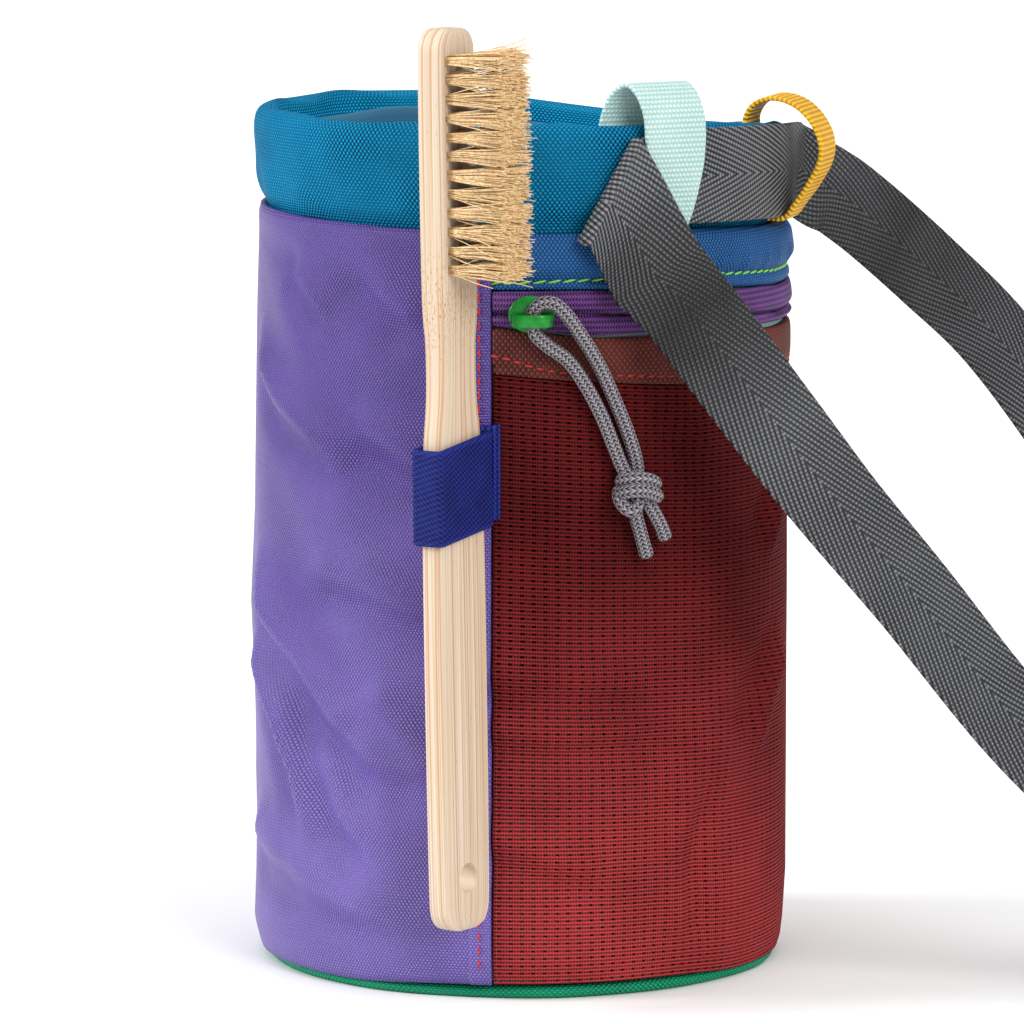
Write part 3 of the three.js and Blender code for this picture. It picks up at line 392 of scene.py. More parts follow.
# Knot of the pull cord. The doubled cord wraps round itself, so two bands lie side by side over the
# front and a third turns back under them at the lower left.
KNOT_TURN, KNOT_RADIUS, KNOT_HEIGHT = 23.0, 62.0, 108.9
KNOT_WRAPS = [
    [(-2.6, 2.2, 1.6), (-3.5, -0.6, 2.1), (-1.9, -2.9, 2.7), (0.6, -3.3, 2.5), (2.8, -2.4, 1.6), (3.6, 0.2, 1.0),
     (2.4, 2.4, 1.2)],
    [(-2.8, 2.0, -0.6), (-4.2, -0.8, -0.5), (-2.8, -3.4, 0.2), (0.2, -3.9, 0.1), (3.0, -2.8, -1.0),
     (3.9, 0.0, -1.6), (2.6, 2.2, -1.2)],
    [(-2.2, 1.4, 1.0), (-4.1, 0.2, -0.4), (-4.3, -1.4, -2.4), (-2.9, -2.4, -3.9), (-1.2, -2.3, -3.2),
     (-0.6, -1.4, -1.6), (0.6, -0.2, -0.6)],
]
knot_centre = around(KNOT_TURN, KNOT_RADIUS, KNOT_HEIGHT)
wraps = []
for wrap, route in enumerate(KNOT_WRAPS):
    line = evenly(curve_through(route, 60), 0.4) @ spun(KNOT_TURN) + knot_centre
    wraps.append(tube(f"knot_wrap_{wrap}", line, CORD_DIAMETER / 2))
knot = joined("pull_cord_knot", *wraps)
dress(knot, grey_braid, "cord_braid", "bag", "pull_knot")
for cord, line in cords:
    (line * MM).tolist()


# Wall of the bag. The cloth panels all follow one soft cylinder, which swells on the left, draws in
# at its foot and has broad leaning folds.
BAG_RADIUS = 57.8
RIM_HEIGHT = 185.0
FRONT_SEAM = -6.3
BACK_SEAM = 143.0
SWELL_HEIGHTS = [0.0, 0.011, 0.022, 0.043, 0.1, 0.2, 0.3, 0.42, 0.535, 0.773, 0.865, 0.887]
SWELL_LEFT = [-0.057, -0.018, -0.007, 0.009, 0.002, -0.003, 0.003, 0.017, 0.0, -0.012, -0.021, -0.028]
SWELL_RIGHT = [-0.057, -0.03, -0.019, -0.011, 0.0, 0.0, 0.0, 0.0, 0.0, 0.0, -0.002, -0.004]
# turn, height, lean, length, width and depth, the last three as shares of the radius
FOLDS = [
    (-66, 0.4, -16, 0.62, 0.15, 0.018),
    (-50, 0.33, -16, 0.55, 0.13, -0.022),
    (-36, 0.62, -24, 0.5, 0.16, -0.024),
    (-52, 0.72, -35, 0.4, 0.14, 0.02),
    (-30, 0.2, -12, 0.45, 0.14, 0.02),
    (-125, 0.5, 20, 0.6, 0.18, -0.024),
    (172, 0.45, -15, 0.6, 0.18, -0.02),
    (46, 0.29, 52, 0.5, 0.13, 0.013),
    (52, 0.19, 48, 0.42, 0.13, -0.013),
    (22, 0.4, 10, 0.4, 0.16, -0.01),
    (110, 0.4, -20, 0.5, 0.18, -0.012),
]
# Creases: depth and width in millimetres, and the turns and heights of a line. Each has a furrow on
# the left of its line as seen going down, and a ridge on the right. All are made CREASE_STRENGTH
# times as deep.
CREASE_STRENGTH = 1.45
CREASES = [
    (2.3, 4.2, [(-78, 90), (-69, 77), (-58, 68.5), (-46, 56.5), (-34.5, 48), (-20, 40)]),
    (1.9, 3.6, [(-82, 70), (-74, 62), (-65, 53.5), (-58.3, 43.5), (-53.5, 27)]),
    (1.3, 3.2, [(-57, 64), (-50, 48), (-43, 35), (-33, 27)]),
    (1.7, 4.0, [(-80, 139), (-72.5, 127), (-64.5, 121.5), (-54, 116.5), (-41, 109)]),
    (1.3, 4.2, [(-40, 157), (-32, 147), (-22, 140)]),
    (1.4, 4.6, [(-42, 119), (-29.5, 114), (-16, 107)]),
    (1.5, 4.6, [(-38, 62), (-29.5, 54.5), (-18, 43)]),
    (1.8, 5.0, [(-84, 29), (-74, 24.5), (-58.5, 21), (-41.5, 15.5), (-18, 10)]),
    (1.2, 3.2, [(-80, 166), (-72, 161), (-59.5, 158.5), (-50, 152)]),
    (1.0, 2.8, [(-60, 152), (-53.5, 147.5), (-47, 141)]),
    (1.3, 4.4, [(-52, 87), (-36, 84.5), (-14, 77)]),
    (1.0, 3.4, [(-20, 67), (8, 66), (30, 64)]),
    (0.9, 3.0, [(-20, 56), (10, 54), (33, 55)]),
    (1.1, 3.4, [(-16, 35), (2, 28.5), (20, 24)]),
    (-1.0, 3.6, [(42, 46), (37, 28), (38, 6)]),
    (1.4, 4.0, [(74, 74), (61, 62), (56, 50)]),
    (0.7, 3.0, [(18, 136), (30, 126), (44, 112)]),
    (1.2, 3.6, [(84, 120), (70, 104), (60, 92)]),
    (1.8, 4.6, [(-150, 140), (-135, 112), (-112, 92)]),
    (1.7, 4.6, [(-172, 76), (-150, 52), (-128, 40)]),
    (1.4, 4.0, [(-112, 66), (-100, 48), (-92, 30)]),
    (1.8, 4.6, [(168, 120), (180, 96), (190, 82)]),
    (1.4, 4.2, [(104, 82), (116, 58), (136, 44)]),
]


def turn_from(origin, turn):
    return (np.asarray(turn, float) - origin + 180) % 360 - 180


def wall_radius(turn, height):
    """Outer face of the soft wall at turns in degrees and heights in millimetres."""
    turn, height = np.broadcast_arrays(np.asarray(turn, float), np.asarray(height, float))
    share = height / RIM_HEIGHT
    leftness = 0.5 - 0.5 * np.sin(np.radians(turn))
    left = np.interp(share, SWELL_HEIGHTS, SWELL_LEFT)
    right = np.interp(share, SWELL_HEIGHTS, SWELL_RIGHT)
    offset = right + (left - right) * leftness
    for fold_turn, fold_height, lean, length, width, depth in FOLDS:
        across = np.radians(turn_from(fold_turn, turn))
        up = (height - fold_height * RIM_HEIGHT) / BAG_RADIUS
        lean = math.radians(lean)
        run = up * math.cos(lean) + across * math.sin(lean)
        aside = across * math.cos(lean) - up * math.sin(lean)
        offset = offset + depth * np.exp(-((run / length) ** 2) - (aside / width) ** 2)
    crease_top = np.where((turn > FRONT_SEAM) & (turn < BACK_SEAM), 127, 160)
    fade = np.clip((height - 4) / 10, 0, 1) * np.clip((crease_top - height) / 10, 0, 1)
    fade = fade * (1 - 0.9 * np.exp(-((turn_from(-93, turn) / 13) ** 2)))
    return BAG_RADIUS * (1 + offset) + creased(turn, height) * fade


def creased(turn, height):
    """What the creases add to the wall's radius."""
    total = np.zeros(turn.shape)
    for depth, width, line in CREASES:
        nearest, signed = np.full(turn.shape, np.inf), np.zeros(turn.shape)
        places = [(math.radians(t) * BAG_RADIUS, h) for t, h in line]
        x = np.radians(turn_from(line[0][0], turn) + line[0][0]) * BAG_RADIUS
        for i, ((x0, y0), (x1, y1)) in enumerate(zip(places, places[1:])):
            dx, dy = x1 - x0, y1 - y0
            share = ((x - x0) * dx + (height - y0) * dy) / (dx * dx + dy * dy)
            share = np.clip(share, 0, 1)
            away_x, away_y = x - x0 - share * dx, height - y0 - share * dy
            away = np.hypot(away_x, away_y)
            ends = (i + share) / (len(line) - 1)
            side = np.sign(away_y * dx - away_x * dy) * away
            taper = np.clip(np.minimum(ends, 1 - ends) * 5, 0, 1)
            shape = np.exp(-((side / width - 1) ** 2)) - 0.8 * np.exp(-((side / width + 0.8) ** 2))
            signed = np.where(away < nearest, shape * taper, signed)
            nearest = np.minimum(away, nearest)
        total = total + depth * CREASE_STRENGTH * signed
    return total


def hem_height(turn):
    return RIM_HEIGHT * (0.0115 + 0.007 * np.exp(-((turn_from(9, turn) / 38) ** 6)))


def panel(name, turns, heights, radius, wall):
    """A closed layer of cloth. heights and radius are arrays, one row for each turn."""
    turns = np.asarray(turns, float)[:, None]
    outer = around(turns, radius, heights)
    inner = around(turns, radius - wall, heights)[:, ::-1]
    loops = np.concatenate([outer, inner], 1)
    run = np.radians(turns) * BAG_RADIUS
    along = np.broadcast_to(run, heights.shape)
    one = np.stack([along, heights], -1)
    uv = np.concatenate([one, one[:, ::-1], one[:, :1]], 1)
    return solid(name, loops, uv)


def nylon(name, colour, pitch_along, pitch_across, depth, contrast, worn=None, share=None, glint=0.0,
          **constants):
    """Woven nylon: the floats are painted lighter as a highlight and the gaps between them darker as shade.
    Where share says so, from 0 to 1, its colour turns to the second one. A painted glint whitens the floats."""
    finish = Finish(name, **constants)
    along, across = finish.along_across()
    threads = finish.weave(along, across, pitch_along, pitch_across)
    rows = (across * (2 * math.pi / pitch_across)).math("COSINE")
    drift = finish.noise(14.0, 3.0) - 0.5
    # Soft patches change how bright the floats are. This is a painted satin sheen, as if the floats reflected the
    # light there.
    sheen_patches = finish.noise(19.0, 1.0, finish.place((1.0, 1.0, 1.6)))
    tone = threads * (sheen_patches * 1.3 - 0.2) - rows * 0.14 + 0.5 + drift * 0.3
    # The bright end is the floats' painted highlight, whitened by the painted glint. The dark end is painted shade
    # in the gaps.
    lit = [c + glint for c in colour]
    dark, bright = paint(*colour, 1 - contrast), paint(*lit, 1 + contrast)
    if worn:
        there = share(finish, along, across)
        dark = finish.mix(there, dark, paint(*worn, 1 - contrast))
        bright = finish.mix(there, bright, paint(*(c + glint for c in worn), 1 + contrast))
    finish.show("Base Color", finish.mix(tone, dark, bright))
    finish.relief(threads * 0.35 - rows * 0.15 + 0.5, depth)
    return finish


# Main cloth. Purple woven nylon goes from the back seam round the left side to the front seam, where
# its doubled edge is topstitched over the pocket's mesh.
HEM_TURN = 4.6
shell_turns = np.concatenate([np.arange(BACK_SEAM - 360, -14, 1.5), np.linspace(-14, FRONT_SEAM, 22)])
shell_top = RIM_HEIGHT * np.interp(shell_turns, [-75, -15], [0.888, 0.880])
share = np.linspace(0, 1, 104)
shell_heights = hem_height(shell_turns)[:, None] * (1 - share) + shell_top[:, None] * share
shell_radius = wall_radius(shell_turns[:, None], shell_heights)
hem_step = np.clip((shell_turns - (FRONT_SEAM - HEM_TURN)) / 0.5 + 0.5, 0, 1)[:, None]
shell_radius = shell_radius + 0.8 * hem_step
from_top = shell_top[:, None] - shell_heights
shell_radius = shell_radius + 0.35 * np.exp(-((from_top - 2.2) / 1.5) ** 2)
# The purple turns lighter towards the bottom, in soft patches. A painted glint whitens its floats.
purple_nylon = nylon(
    "purple_nylon", (0.30, 0.205, 0.555), 0.4, 0.6, 0.3, 0.75, worn=(0.41, 0.33, 0.66),
    share=lambda finish, along, up: up * (-1 / 110.0) + 1.15 + (finish.noise(26.0, 1.0) - 0.5) * 1.4,
    glint=0.05, Roughness=0.36, Specular_IOR_Level=0.42,
)
shell = panel("shell_cloth", shell_turns, shell_heights, shell_radius, 1.2)
dress(shell, purple_nylon, "shell_cloth", "bag", "shell_panel")


# Pocket's back. The mint cloth behind the mesh shows through its holes. Where it lies in shadow, high up and
# towards the left, it is painted navy as shade. Lower down, further right and under the zip it keeps its mint.
POCKET_START = FRONT_SEAM + 0.3
POCKET_END = BACK_SEAM - 0.3
SEAM_TURNS = [-6, 14, 40, 70, 143]
SEAMS = {
    "band_top": [0.88, 0.88, 0.88, 0.872, 0.872],
    "stitch": [0.823, 0.826, 0.826, 0.818, 0.818],
    "band_end": [0.815, 0.815, 0.81, 0.801, 0.801],
    "zip": [0.788, 0.788, 0.78, 0.769, 0.769],
    "tape": [0.7746, 0.763, 0.763, 0.7583, 0.7583],
    "binding": [0.773, 0.76, 0.757, 0.752, 0.752],
    "mesh": [0.72, 0.71, 0.7, 0.7, 0.7],
}


def seam(name, turn):
    """Height of one of the pocket's seams, in millimetres."""
    return RIM_HEIGHT * np.interp(turn, SEAM_TURNS, SEAMS[name])


pocket_turns = np.arange(POCKET_START, POCKET_END + 0.01, (POCKET_END - POCKET_START) / 88)
share = np.linspace(0, 1, 60)
back_heights = 0.02 * RIM_HEIGHT * (1 - share) + (seam("band_end", pocket_turns)[:, None] - 0.3) * share
back_radius = wall_radius(pocket_turns[:, None], back_heights) - 1.3
# The navy colour is painted shade. The second colour is the cloth's own mint.
back_cloth = nylon(
    "pocket_back_cloth", (0.10, 0.11, 0.24), 0.5, 0.5, 0.04, 0.2, worn=(0.66, 0.80, 0.77),
    share=lambda finish, along, up: (up * (-1 / 40.0) + along / 26.0 + 1.9).math(
        "MAXIMUM", (up - 136.0) / 1.5),
    Roughness=0.8,
)
back = panel("pocket_back", pocket_turns, back_heights, back_radius, 1.0)
dress(back, back_cloth, "panel_cloth", "bag", "pocket_panel")


# Mesh. Red knitted mesh covers the pocket in rows of small open holes, each cut through the cloth.
MESH_WALL = 1.0
HOLE_PITCH_ACROSS = 2.45
HOLE_PITCH_UP = 1.62
HOLE_WIDTH = 0.8
HOLE_HEIGHT = 0.52


def open_mesh(name, radius_at, bottom_at, top_at):
    """Cloth with a grid of holes, made as two faces and the walls between them."""
    columns = round(math.radians(POCKET_END - POCKET_START) * BAG_RADIUS / HOLE_PITCH_ACROSS)
    rows = round((0.715 * RIM_HEIGHT - 3) / HOLE_PITCH_UP)
    turn_step = (POCKET_END - POCKET_START) / columns
    w = HOLE_WIDTH / HOLE_PITCH_ACROSS / 2
    h = HOLE_HEIGHT / HOLE_PITCH_UP / 2
    xs = np.array([0, 0.5 - w, 0.5 + w])
    ys = np.array([0, 0.5 - h, 0.5 + h])
    across = np.concatenate([(i + xs) for i in range(columns)] + [[columns]])
    up = np.concatenate([(j + ys) for j in range(rows)] + [[rows]])
    turns = POCKET_START + across * turn_step
    share = (up / rows)[None, :]
    turns_grid = np.repeat(turns[:, None], len(up), 1)
    # the knit isn't quite even, so its holes wander a little
    row, turn = up[None], turns[:, None]
    wander = 0.06 * np.sin(row * 0.37 + turn * 0.21) * np.sin(row * 0.11 - turn * 0.5)
    from_edge = np.clip(np.minimum(across, columns - across), 0, 1)[:, None]
    turns_grid = turns_grid + turn_step * wander * from_edge
    bottom, top = bottom_at(turns_grid), top_at(turns_grid)
    heights = bottom + (top - bottom) * share
    radius = radius_at(turns_grid, heights)
    outer = around(turns_grid, radius, heights)
    inner = around(turns_grid, radius - MESH_WALL, heights)
    n, m = turns_grid.shape
    index = np.arange(n * m).reshape(n, m)
    i, j = np.meshgrid(np.arange(n - 1), np.arange(m - 1), indexing="ij")
    is_hole = ((i % 3 == 1) & (j % 3 == 1)).ravel()
    i, j = i.ravel(), j.ravel()
    quads = np.stack([index[i, j], index[i + 1, j], index[i + 1, j + 1], index[i, j + 1]], -1)
    kept = quads[~is_hole]
    size = n * m
    edges = np.concatenate([kept[:, [k, (k + 1) % 4]] for k in range(4)])
    keys = edges[:, 0].astype(np.int64) * size + edges[:, 1]
    twins = edges[:, 1].astype(np.int64) * size + edges[:, 0]
    rims = edges[~np.isin(keys, twins)]
    walls = np.stack([rims[:, 1], rims[:, 0], rims[:, 0] + size, rims[:, 1] + size], -1)
    faces = np.concatenate([kept, kept[:, ::-1] + size, walls])
    points = np.concatenate([outer.reshape(-1, 3), inner.reshape(-1, 3)])
    rows_run = np.broadcast_to(up * HOLE_PITCH_UP, heights.shape)
    run = np.stack([np.radians(turns_grid) * BAG_RADIUS, rows_run], -1).reshape(-1, 2)
    uv = np.concatenate([run, run])
    used, faces_used = np.unique(faces, return_inverse=True)
    return plain_mesh(name, points[used], faces_used.reshape(-1, 4), uv[faces])


def knitted():
    """Red knit: two ribs lie between the rows of holes, and every rib is a row of tiny stitches."""
    finish = Finish("red_knit", Roughness=0.75, Specular_IOR_Level=0.05)
    along, up = finish.along_across()
    ribs = (up * (-4 * math.pi / HOLE_PITCH_UP)).math("COSINE")
    stitches = (along * (2 * math.pi / 0.6) + ribs * 1.2).math("SINE")
    drift = finish.noise(20.0, 3.0) - 0.5
    low = up * (-1 / 70.0) + 1.35
    tone = ribs * -0.36 + stitches * 0.2 + 0.42 + drift * 0.6
    dark = finish.mix(low, paint(0.17, 0.035, 0.045), paint(0.31, 0.085, 0.095))
    bright = finish.mix(low, paint(0.52, 0.14, 0.15), paint(0.86, 0.31, 0.32))
    finish.show("Base Color", finish.mix(tone, dark, bright))
    finish.relief(ribs * -0.35 + stitches * 0.15 + 0.5, 0.3)
    return finish


mesh_cloth = open_mesh("pocket_mesh", wall_radius, hem_height, lambda turn: seam("mesh", turn) - 0.1)
dress(mesh_cloth, knitted(), "mesh_cloth", "bag", "mesh_pocket")


# Binding. Dark red ribbed elastic is folded over the mesh's top edge and held by a row of red stitches.
TAPE_RADIUS = BAG_RADIUS - MESH_WALL + 1.2
share = np.array([0, 0.02, 0.06, 0.14, 0.17, 0.2, 0.26, 0.4, 0.6, 0.8, 0.92, 0.97, 1])
swell = np.array([-0.3, -0.02, 0.1, 0.02, -0.14, 0.04, 0.25, 0.32, 0.34, 0.3, 0.2, 0.0, -0.35])
binding_turns = np.linspace(POCKET_START, POCKET_END, 180)
bottom, top = seam("mesh", binding_turns)[:, None], seam("binding", binding_turns)[:, None]
binding_heights = bottom + (top - bottom) * share
binding_radius = np.broadcast_to(BAG_RADIUS + 0.2 + swell, binding_heights.shape)


def ribbed():
    finish = Finish("binding_elastic", Roughness=0.7)
    along, up = finish.along_across()
    dashes = finish.weave(along, up, 0.6, 0.76).math("MAXIMUM", 0.0)
    fine = (along * (2 * math.pi / 0.6)).math("SINE")
    tone = dashes * 0.6 + fine * 0.06 + 0.2 + (finish.noise(9.0) - 0.5) * 0.4
    finish.show("Base Color", finish.mix(tone, paint(0.11, 0.035, 0.035), paint(0.66, 0.30, 0.25)))
    finish.relief(dashes * 0.8 + 0.1, 0.22)
    return finish


binding = panel("pocket_binding", binding_turns, binding_heights, binding_radius, 1.2)
dress(binding, ribbed(), "binding_elastic", "bag", "mesh_binding")


# Zip. A closed coil zip in purple: each knitted tape rolls over its half of the coil, and the two rolls
# meet in a dark groove.
def zip_tape(name, lower, upper, swell, replaced):
    """One tape between two rows of heights, with the given swell from its lower to its upper edge."""
    shares = np.linspace(0, 1, len(swell))
    heights = lower[:, None] * (1 - shares) + upper[:, None] * shares
    radius = np.broadcast_to(TAPE_RADIUS + np.array(swell), heights.shape)
    made = panel(name, pocket_turns, heights, radius, 1.2)
    return dress(made, zip_knit, "zip_tape", "bag", replaced)


def knit_tape():
    finish = Finish("zip_knit", Roughness=0.6)
    along, up = finish.along_across()
    from_column = abs((up / 1.2) % 1.0 - 0.5)
    stitches = ((along / 0.62 + from_column * 1.3) * (2 * math.pi)).math("SINE")
    columns = ((up / 1.2) * (2 * math.pi)).math("COSINE")
    tone = stitches * 0.36 - columns * 0.24 + 0.4 + (finish.noise(7.0) - 0.5) * 0.5
    finish.show("Base Color", finish.mix(tone, paint(0.09, 0.03, 0.14), paint(0.58, 0.33, 0.70)))
    finish.relief(stitches * 0.25 - columns * 0.2 + 0.5, 0.3)
    return finish


zip_knit = knit_tape()
zip_line = seam("zip", pocket_turns)
zip_tape(
    "zip_tape_top", zip_line + 0.15, seam("band_end", pocket_turns) - 0.3,
    [-0.5, 0.1, 0.45, 0.6, 0.55, 0.5, 0.42, 0.3, 0.15, -0.1], "zip_tape_upper",
)
zip_tape(
    "zip_tape_bottom", seam("tape", pocket_turns), zip_line - 0.15,
    [-0.3, -0.1, 0.1, 0.3, 0.42, 0.5, 0.45, 0.3, -0.1, -0.5], "zip_tape_lower",
)


# Band. Blue nylon over the zip bulges between the collar's seam and its own green topstitching.
share = np.linspace(0, 1, 26)
band_up = np.array([0.0, 0.1, 0.35, 0.7, 0.86, 0.95, 1.0])
band_out = np.array([-0.8, 0.1, 1.0, 0.75, 0.1, -0.7, -1.9])
stitch, top = seam("stitch", pocket_turns)[:, None], seam("band_top", pocket_turns)[:, None] - 0.4
flap = seam("band_end", pocket_turns)[:, None]
flap_heights = flap + (stitch - flap) * np.linspace(0, 0.86, 5)
band_heights = np.concatenate([flap_heights, stitch + (top - stitch) * share], 1)
flap_out = np.array([-0.5, 0.05, 0.12, 0.0, -0.5])
bulge = curve_through(np.stack([band_up, band_out], -1), 60)
bulge_out = np.interp(share, bulge[:, 0], bulge[:, 1])
pucker = 0.3 * np.sin(pocket_turns * 2.1) * np.sin(pocket_turns * 0.73) + 0.2 * np.sin(pocket_turns * 5.3)
band_out = np.concatenate([flap_out, bulge_out])[None] + pucker[:, None] * np.concatenate(
    [np.full(5, 0.25), np.exp(-((share - 0.2) / 0.3) ** 2)]
)
# A painted glint whitens the blue's floats.
blue_nylon = nylon(
    "blue_nylon", (0.10, 0.30, 0.53), 0.45, 0.62, 0.35, 0.9, glint=0.08, Roughness=0.45,
    Specular_IOR_Level=0.05,
)
band = panel("zip_band_cloth", pocket_turns, band_heights, BAG_RADIUS + band_out, 1.2)
dress(band, blue_nylon, "band_cloth", "bag", "zip_band")


# Collar. A padded teal ring in coarse nylon closes the mouth. It rolls outwards over the shell's top
# edge and is puckered along its inner seam.
COLLAR_HEIGHT = 24.05
COLLAR_ROLL = 5.2
COLLAR_SECTION = [
    (0.62, 0.0), (0.62, 0.1), (0.52, 0.17), (0.34, 0.25), (0.2, 0.4), (0.08, 0.62), (0.0, 0.82), (0.06, 0.92),
    (0.22, 0.98), (0.48, 1.0), (0.78, 0.985), (0.98, 0.92), (1.03, 0.8), (1.02, 0.6), (0.99, 0.4), (0.95, 0.2),
    (0.9, 0.0), (0.76, -0.01),
]


def rim_height(turn):
    """The rim sags towards the back right, and stands a little at the back left."""
    stand = 0.8 * np.exp(-((turn_from(-158, turn) / 34) ** 2))
    return RIM_HEIGHT - 6.3 * np.exp(-((turn_from(130, turn) / 58) ** 2)) + stand


section = curve_through(COLLAR_SECTION + COLLAR_SECTION[:1], 72)[:-1]
collar_turns = np.arange(0, 360, 1.2)
out, up = section[:, 0][None], section[:, 1][None]
turns = collar_turns[:, None]
rise = rim_height(turns) - RIM_HEIGHT
collar_heights = RIM_HEIGHT - COLLAR_HEIGHT * (1 - up) + rise * up
inside = np.clip((out - 0.6) / 0.3, 0, 1) * np.clip(up * 3 - 1.2, 0, 1)
outside = np.clip((0.45 - out) / 0.3, 0, 1)
lobes = np.sin(np.radians(turns * 10 + 50 * np.sin(np.radians(turns * 3))))
gathers = np.sin(np.radians(turns * 23 + 70 * np.sin(np.radians(turns * 2))))
foot = np.exp(-((up - 0.33) / 0.15) ** 2)
collar_radius = BAG_RADIUS - COLLAR_ROLL * out
collar_radius = collar_radius + inside * (0.85 * lobes - 0.3) * np.clip(up, 0.3, 1)
collar_radius = collar_radius + outside * foot * 0.6 * gathers
collar_radius = collar_radius + outside * 0.22 * np.sin(np.radians(turns * 4 + 30)) * np.sin(up * 5)
collar_heights = collar_heights + 0.5 * lobes * np.exp(-((out - 0.7) / 0.3) ** 2) * np.clip(up * 6 - 5, 0, 1)
collar_run = np.radians(np.append(collar_turns, 360))[:, None] * BAG_RADIUS
girth = run_of(closed(section) * [COLLAR_ROLL, COLLAR_HEIGHT])
collar_uv = grid_of(collar_run, girth[None])
roll_girth = float(girth[-1]) / 2
# A painted glint whitens the teal's floats. Inside the roll the teal is painted brighter, as light on the far inner
# wall.
teal_nylon = nylon(
    "teal_nylon", (0.01, 0.42, 0.60), 0.52, 0.67, 0.5, 0.92, worn=(0.01, 0.53, 0.73),
    share=lambda finish, along, girth: (girth - roll_girth) / 5.0, glint=0.09, Roughness=0.5,
    Specular_IOR_Level=0.01,
)
collar = solid("collar_pad", around(turns, collar_radius, collar_heights), collar_uv, ring=True)
dress(collar, teal_nylon, "collar_cloth", "bag", "collar")


# Lining. Slate cloth hangs inside from the collar, and its gathered edge stands up in the mouth.
WALL_ROWS = np.array([0.045, 0.1, 0.2, 0.3, 0.4, 0.52, 0.64, 0.773])
LINING_WALL = 1.5
lining_turns = np.arange(0, 360, 2.0)
gather = 0.7 * (np.sin(np.radians(lining_turns * 9)) + np.sin(np.radians(lining_turns * 4)))
skirt = BAG_RADIUS - COLLAR_ROLL * 1.02 - 0.3
back_left = np.exp(-((turn_from(-140, lining_turns) / 32) ** 2))
skirt_top = rim_height(lining_turns) - 4.9 + 0.6 * gather + back_left


def wall_ring(height, inset):
    """The lining keeps clear of the folds between its rows."""
    near = [wall_radius(lining_turns, height + step) for step in np.linspace(-13, 13, 9)]
    return np.min(near, axis=0) - 2.6 - inset, height


rings = [(skirt * k, 1.8) for k in (0.02, 0.5, 0.9, 1.0)]
rings.append((skirt + 0.3, 3.3))
rings += [wall_ring(h * RIM_HEIGHT, 0) for h in WALL_ROWS]
rings += [wall_ring(0.83 * RIM_HEIGHT, 0.6), (skirt, 160.0), (skirt, skirt_top - 3)]
rings += [(skirt - 0.6 - 0.6 * gather, skirt_top), (skirt - 1.8 - 0.6 * gather, skirt_top)]
rings += [(skirt - 1.5, skirt_top - 3.5), (skirt - 1.5, 159.4)]
rings.append(wall_ring(0.83 * RIM_HEIGHT - 1.2, 0.6 + LINING_WALL))
rings += [wall_ring(h * RIM_HEIGHT, LINING_WALL) for h in WALL_ROWS[::-1]]
rings += [((skirt - 1.5) * k, 3.3) for k in (1.0, 0.9, 0.5, 0.02)]
loops = np.array([around(lining_turns, radius, height) for radius, height in rings])
run = np.radians(np.append(lining_turns, 360)) * BAG_RADIUS
heights = run_of(loops[:, 0])
lining_uv = grid_of(run[None], heights[:, None])
slate = nylon("slate_lining", (0.25, 0.49, 0.63), 0.4, 0.5, 0.1, 0.3, Roughness=0.6)
lining = solid("lining_cloth", loops, lining_uv)
lining.modifiers.new("smooth", "SUBSURF").levels = 1
lining.modifiers["smooth"].render_levels = 1
dress(lining, slate, "lining_cloth", "bag", "lining")


# Base. A green round of cloth, whose corded edge shows under the front of the wall.
base_profile = [
    (0.2, 0.0), (40.0, 0.0), (53.6, 0.0), (54.8, 0.2), (55.5, 0.9), (55.6, 1.6), (55.2, 2.3), (54.4, 2.8),
    (53.4, 2.6), (53.0, 1.8), (52.6, 1.5), (40.0, 1.5), (0.2, 1.5),
]
base_turns = np.arange(0, 360, 2.0)
loops = np.array([around(base_turns, radius, height) for radius, height in base_profile])
wave = 1 + 0.004 * np.sin(np.radians(base_turns * 7)) + 0.003 * np.sin(np.radians(base_turns * 11 + 50))
loops[3:9, :, :2] *= wave[None, :, None]
base_uv = grid_of(np.radians(np.append(base_turns, 360))[None] * 55, run_of(np.array(base_profile))[:, None])
green_cloth = nylon("green_base_cloth", (0.01, 0.60, 0.43), 0.6, 0.6, 0.25, 0.7, Roughness=0.6)
base = solid("base_cloth", loops, base_uv)
dress(base, green_cloth, "base_cloth", "bag", "base_panel")


# Stitching. Each row of thread is a line of short stitches that slant a little and sink into the cloth
# at both ends.
def tree(name, sizes):
    """An empty Geometry Nodes tree with a geometry and named sizes for its inputs."""
    made = bpy.data.node_groups.new(name, "GeometryNodeTree")
    made.interface.new_socket("Geometry", in_out="INPUT", socket_type="NodeSocketGeometry")
    for size, value in sizes.items():
        made.interface.new_socket(size, in_out="INPUT", socket_type="NodeSocketFloat").default_value = value
    made.interface.new_socket("Geometry", in_out="OUTPUT", socket_type="NodeSocketGeometry")
    nodes = Nodes(made)
    first = made.nodes.new("NodeGroupInput")
    inputs = {socket.name: Value(nodes, socket) for socket in first.outputs if socket.name}
    return nodes, inputs


def finish_tree(nodes, geometry, finish):
    """Ends a tree in real geometry with its finish."""
    real = nodes.node("GeometryNodeRealizeInstances", None, {0: geometry})
    painted = nodes.node("GeometryNodeSetMaterial", None, {"Geometry": real, "Material": finish.material})
    end = nodes.tree.nodes.new("NodeGroupOutput")
    nodes.tree.links.new(painted.socket, end.inputs[0])


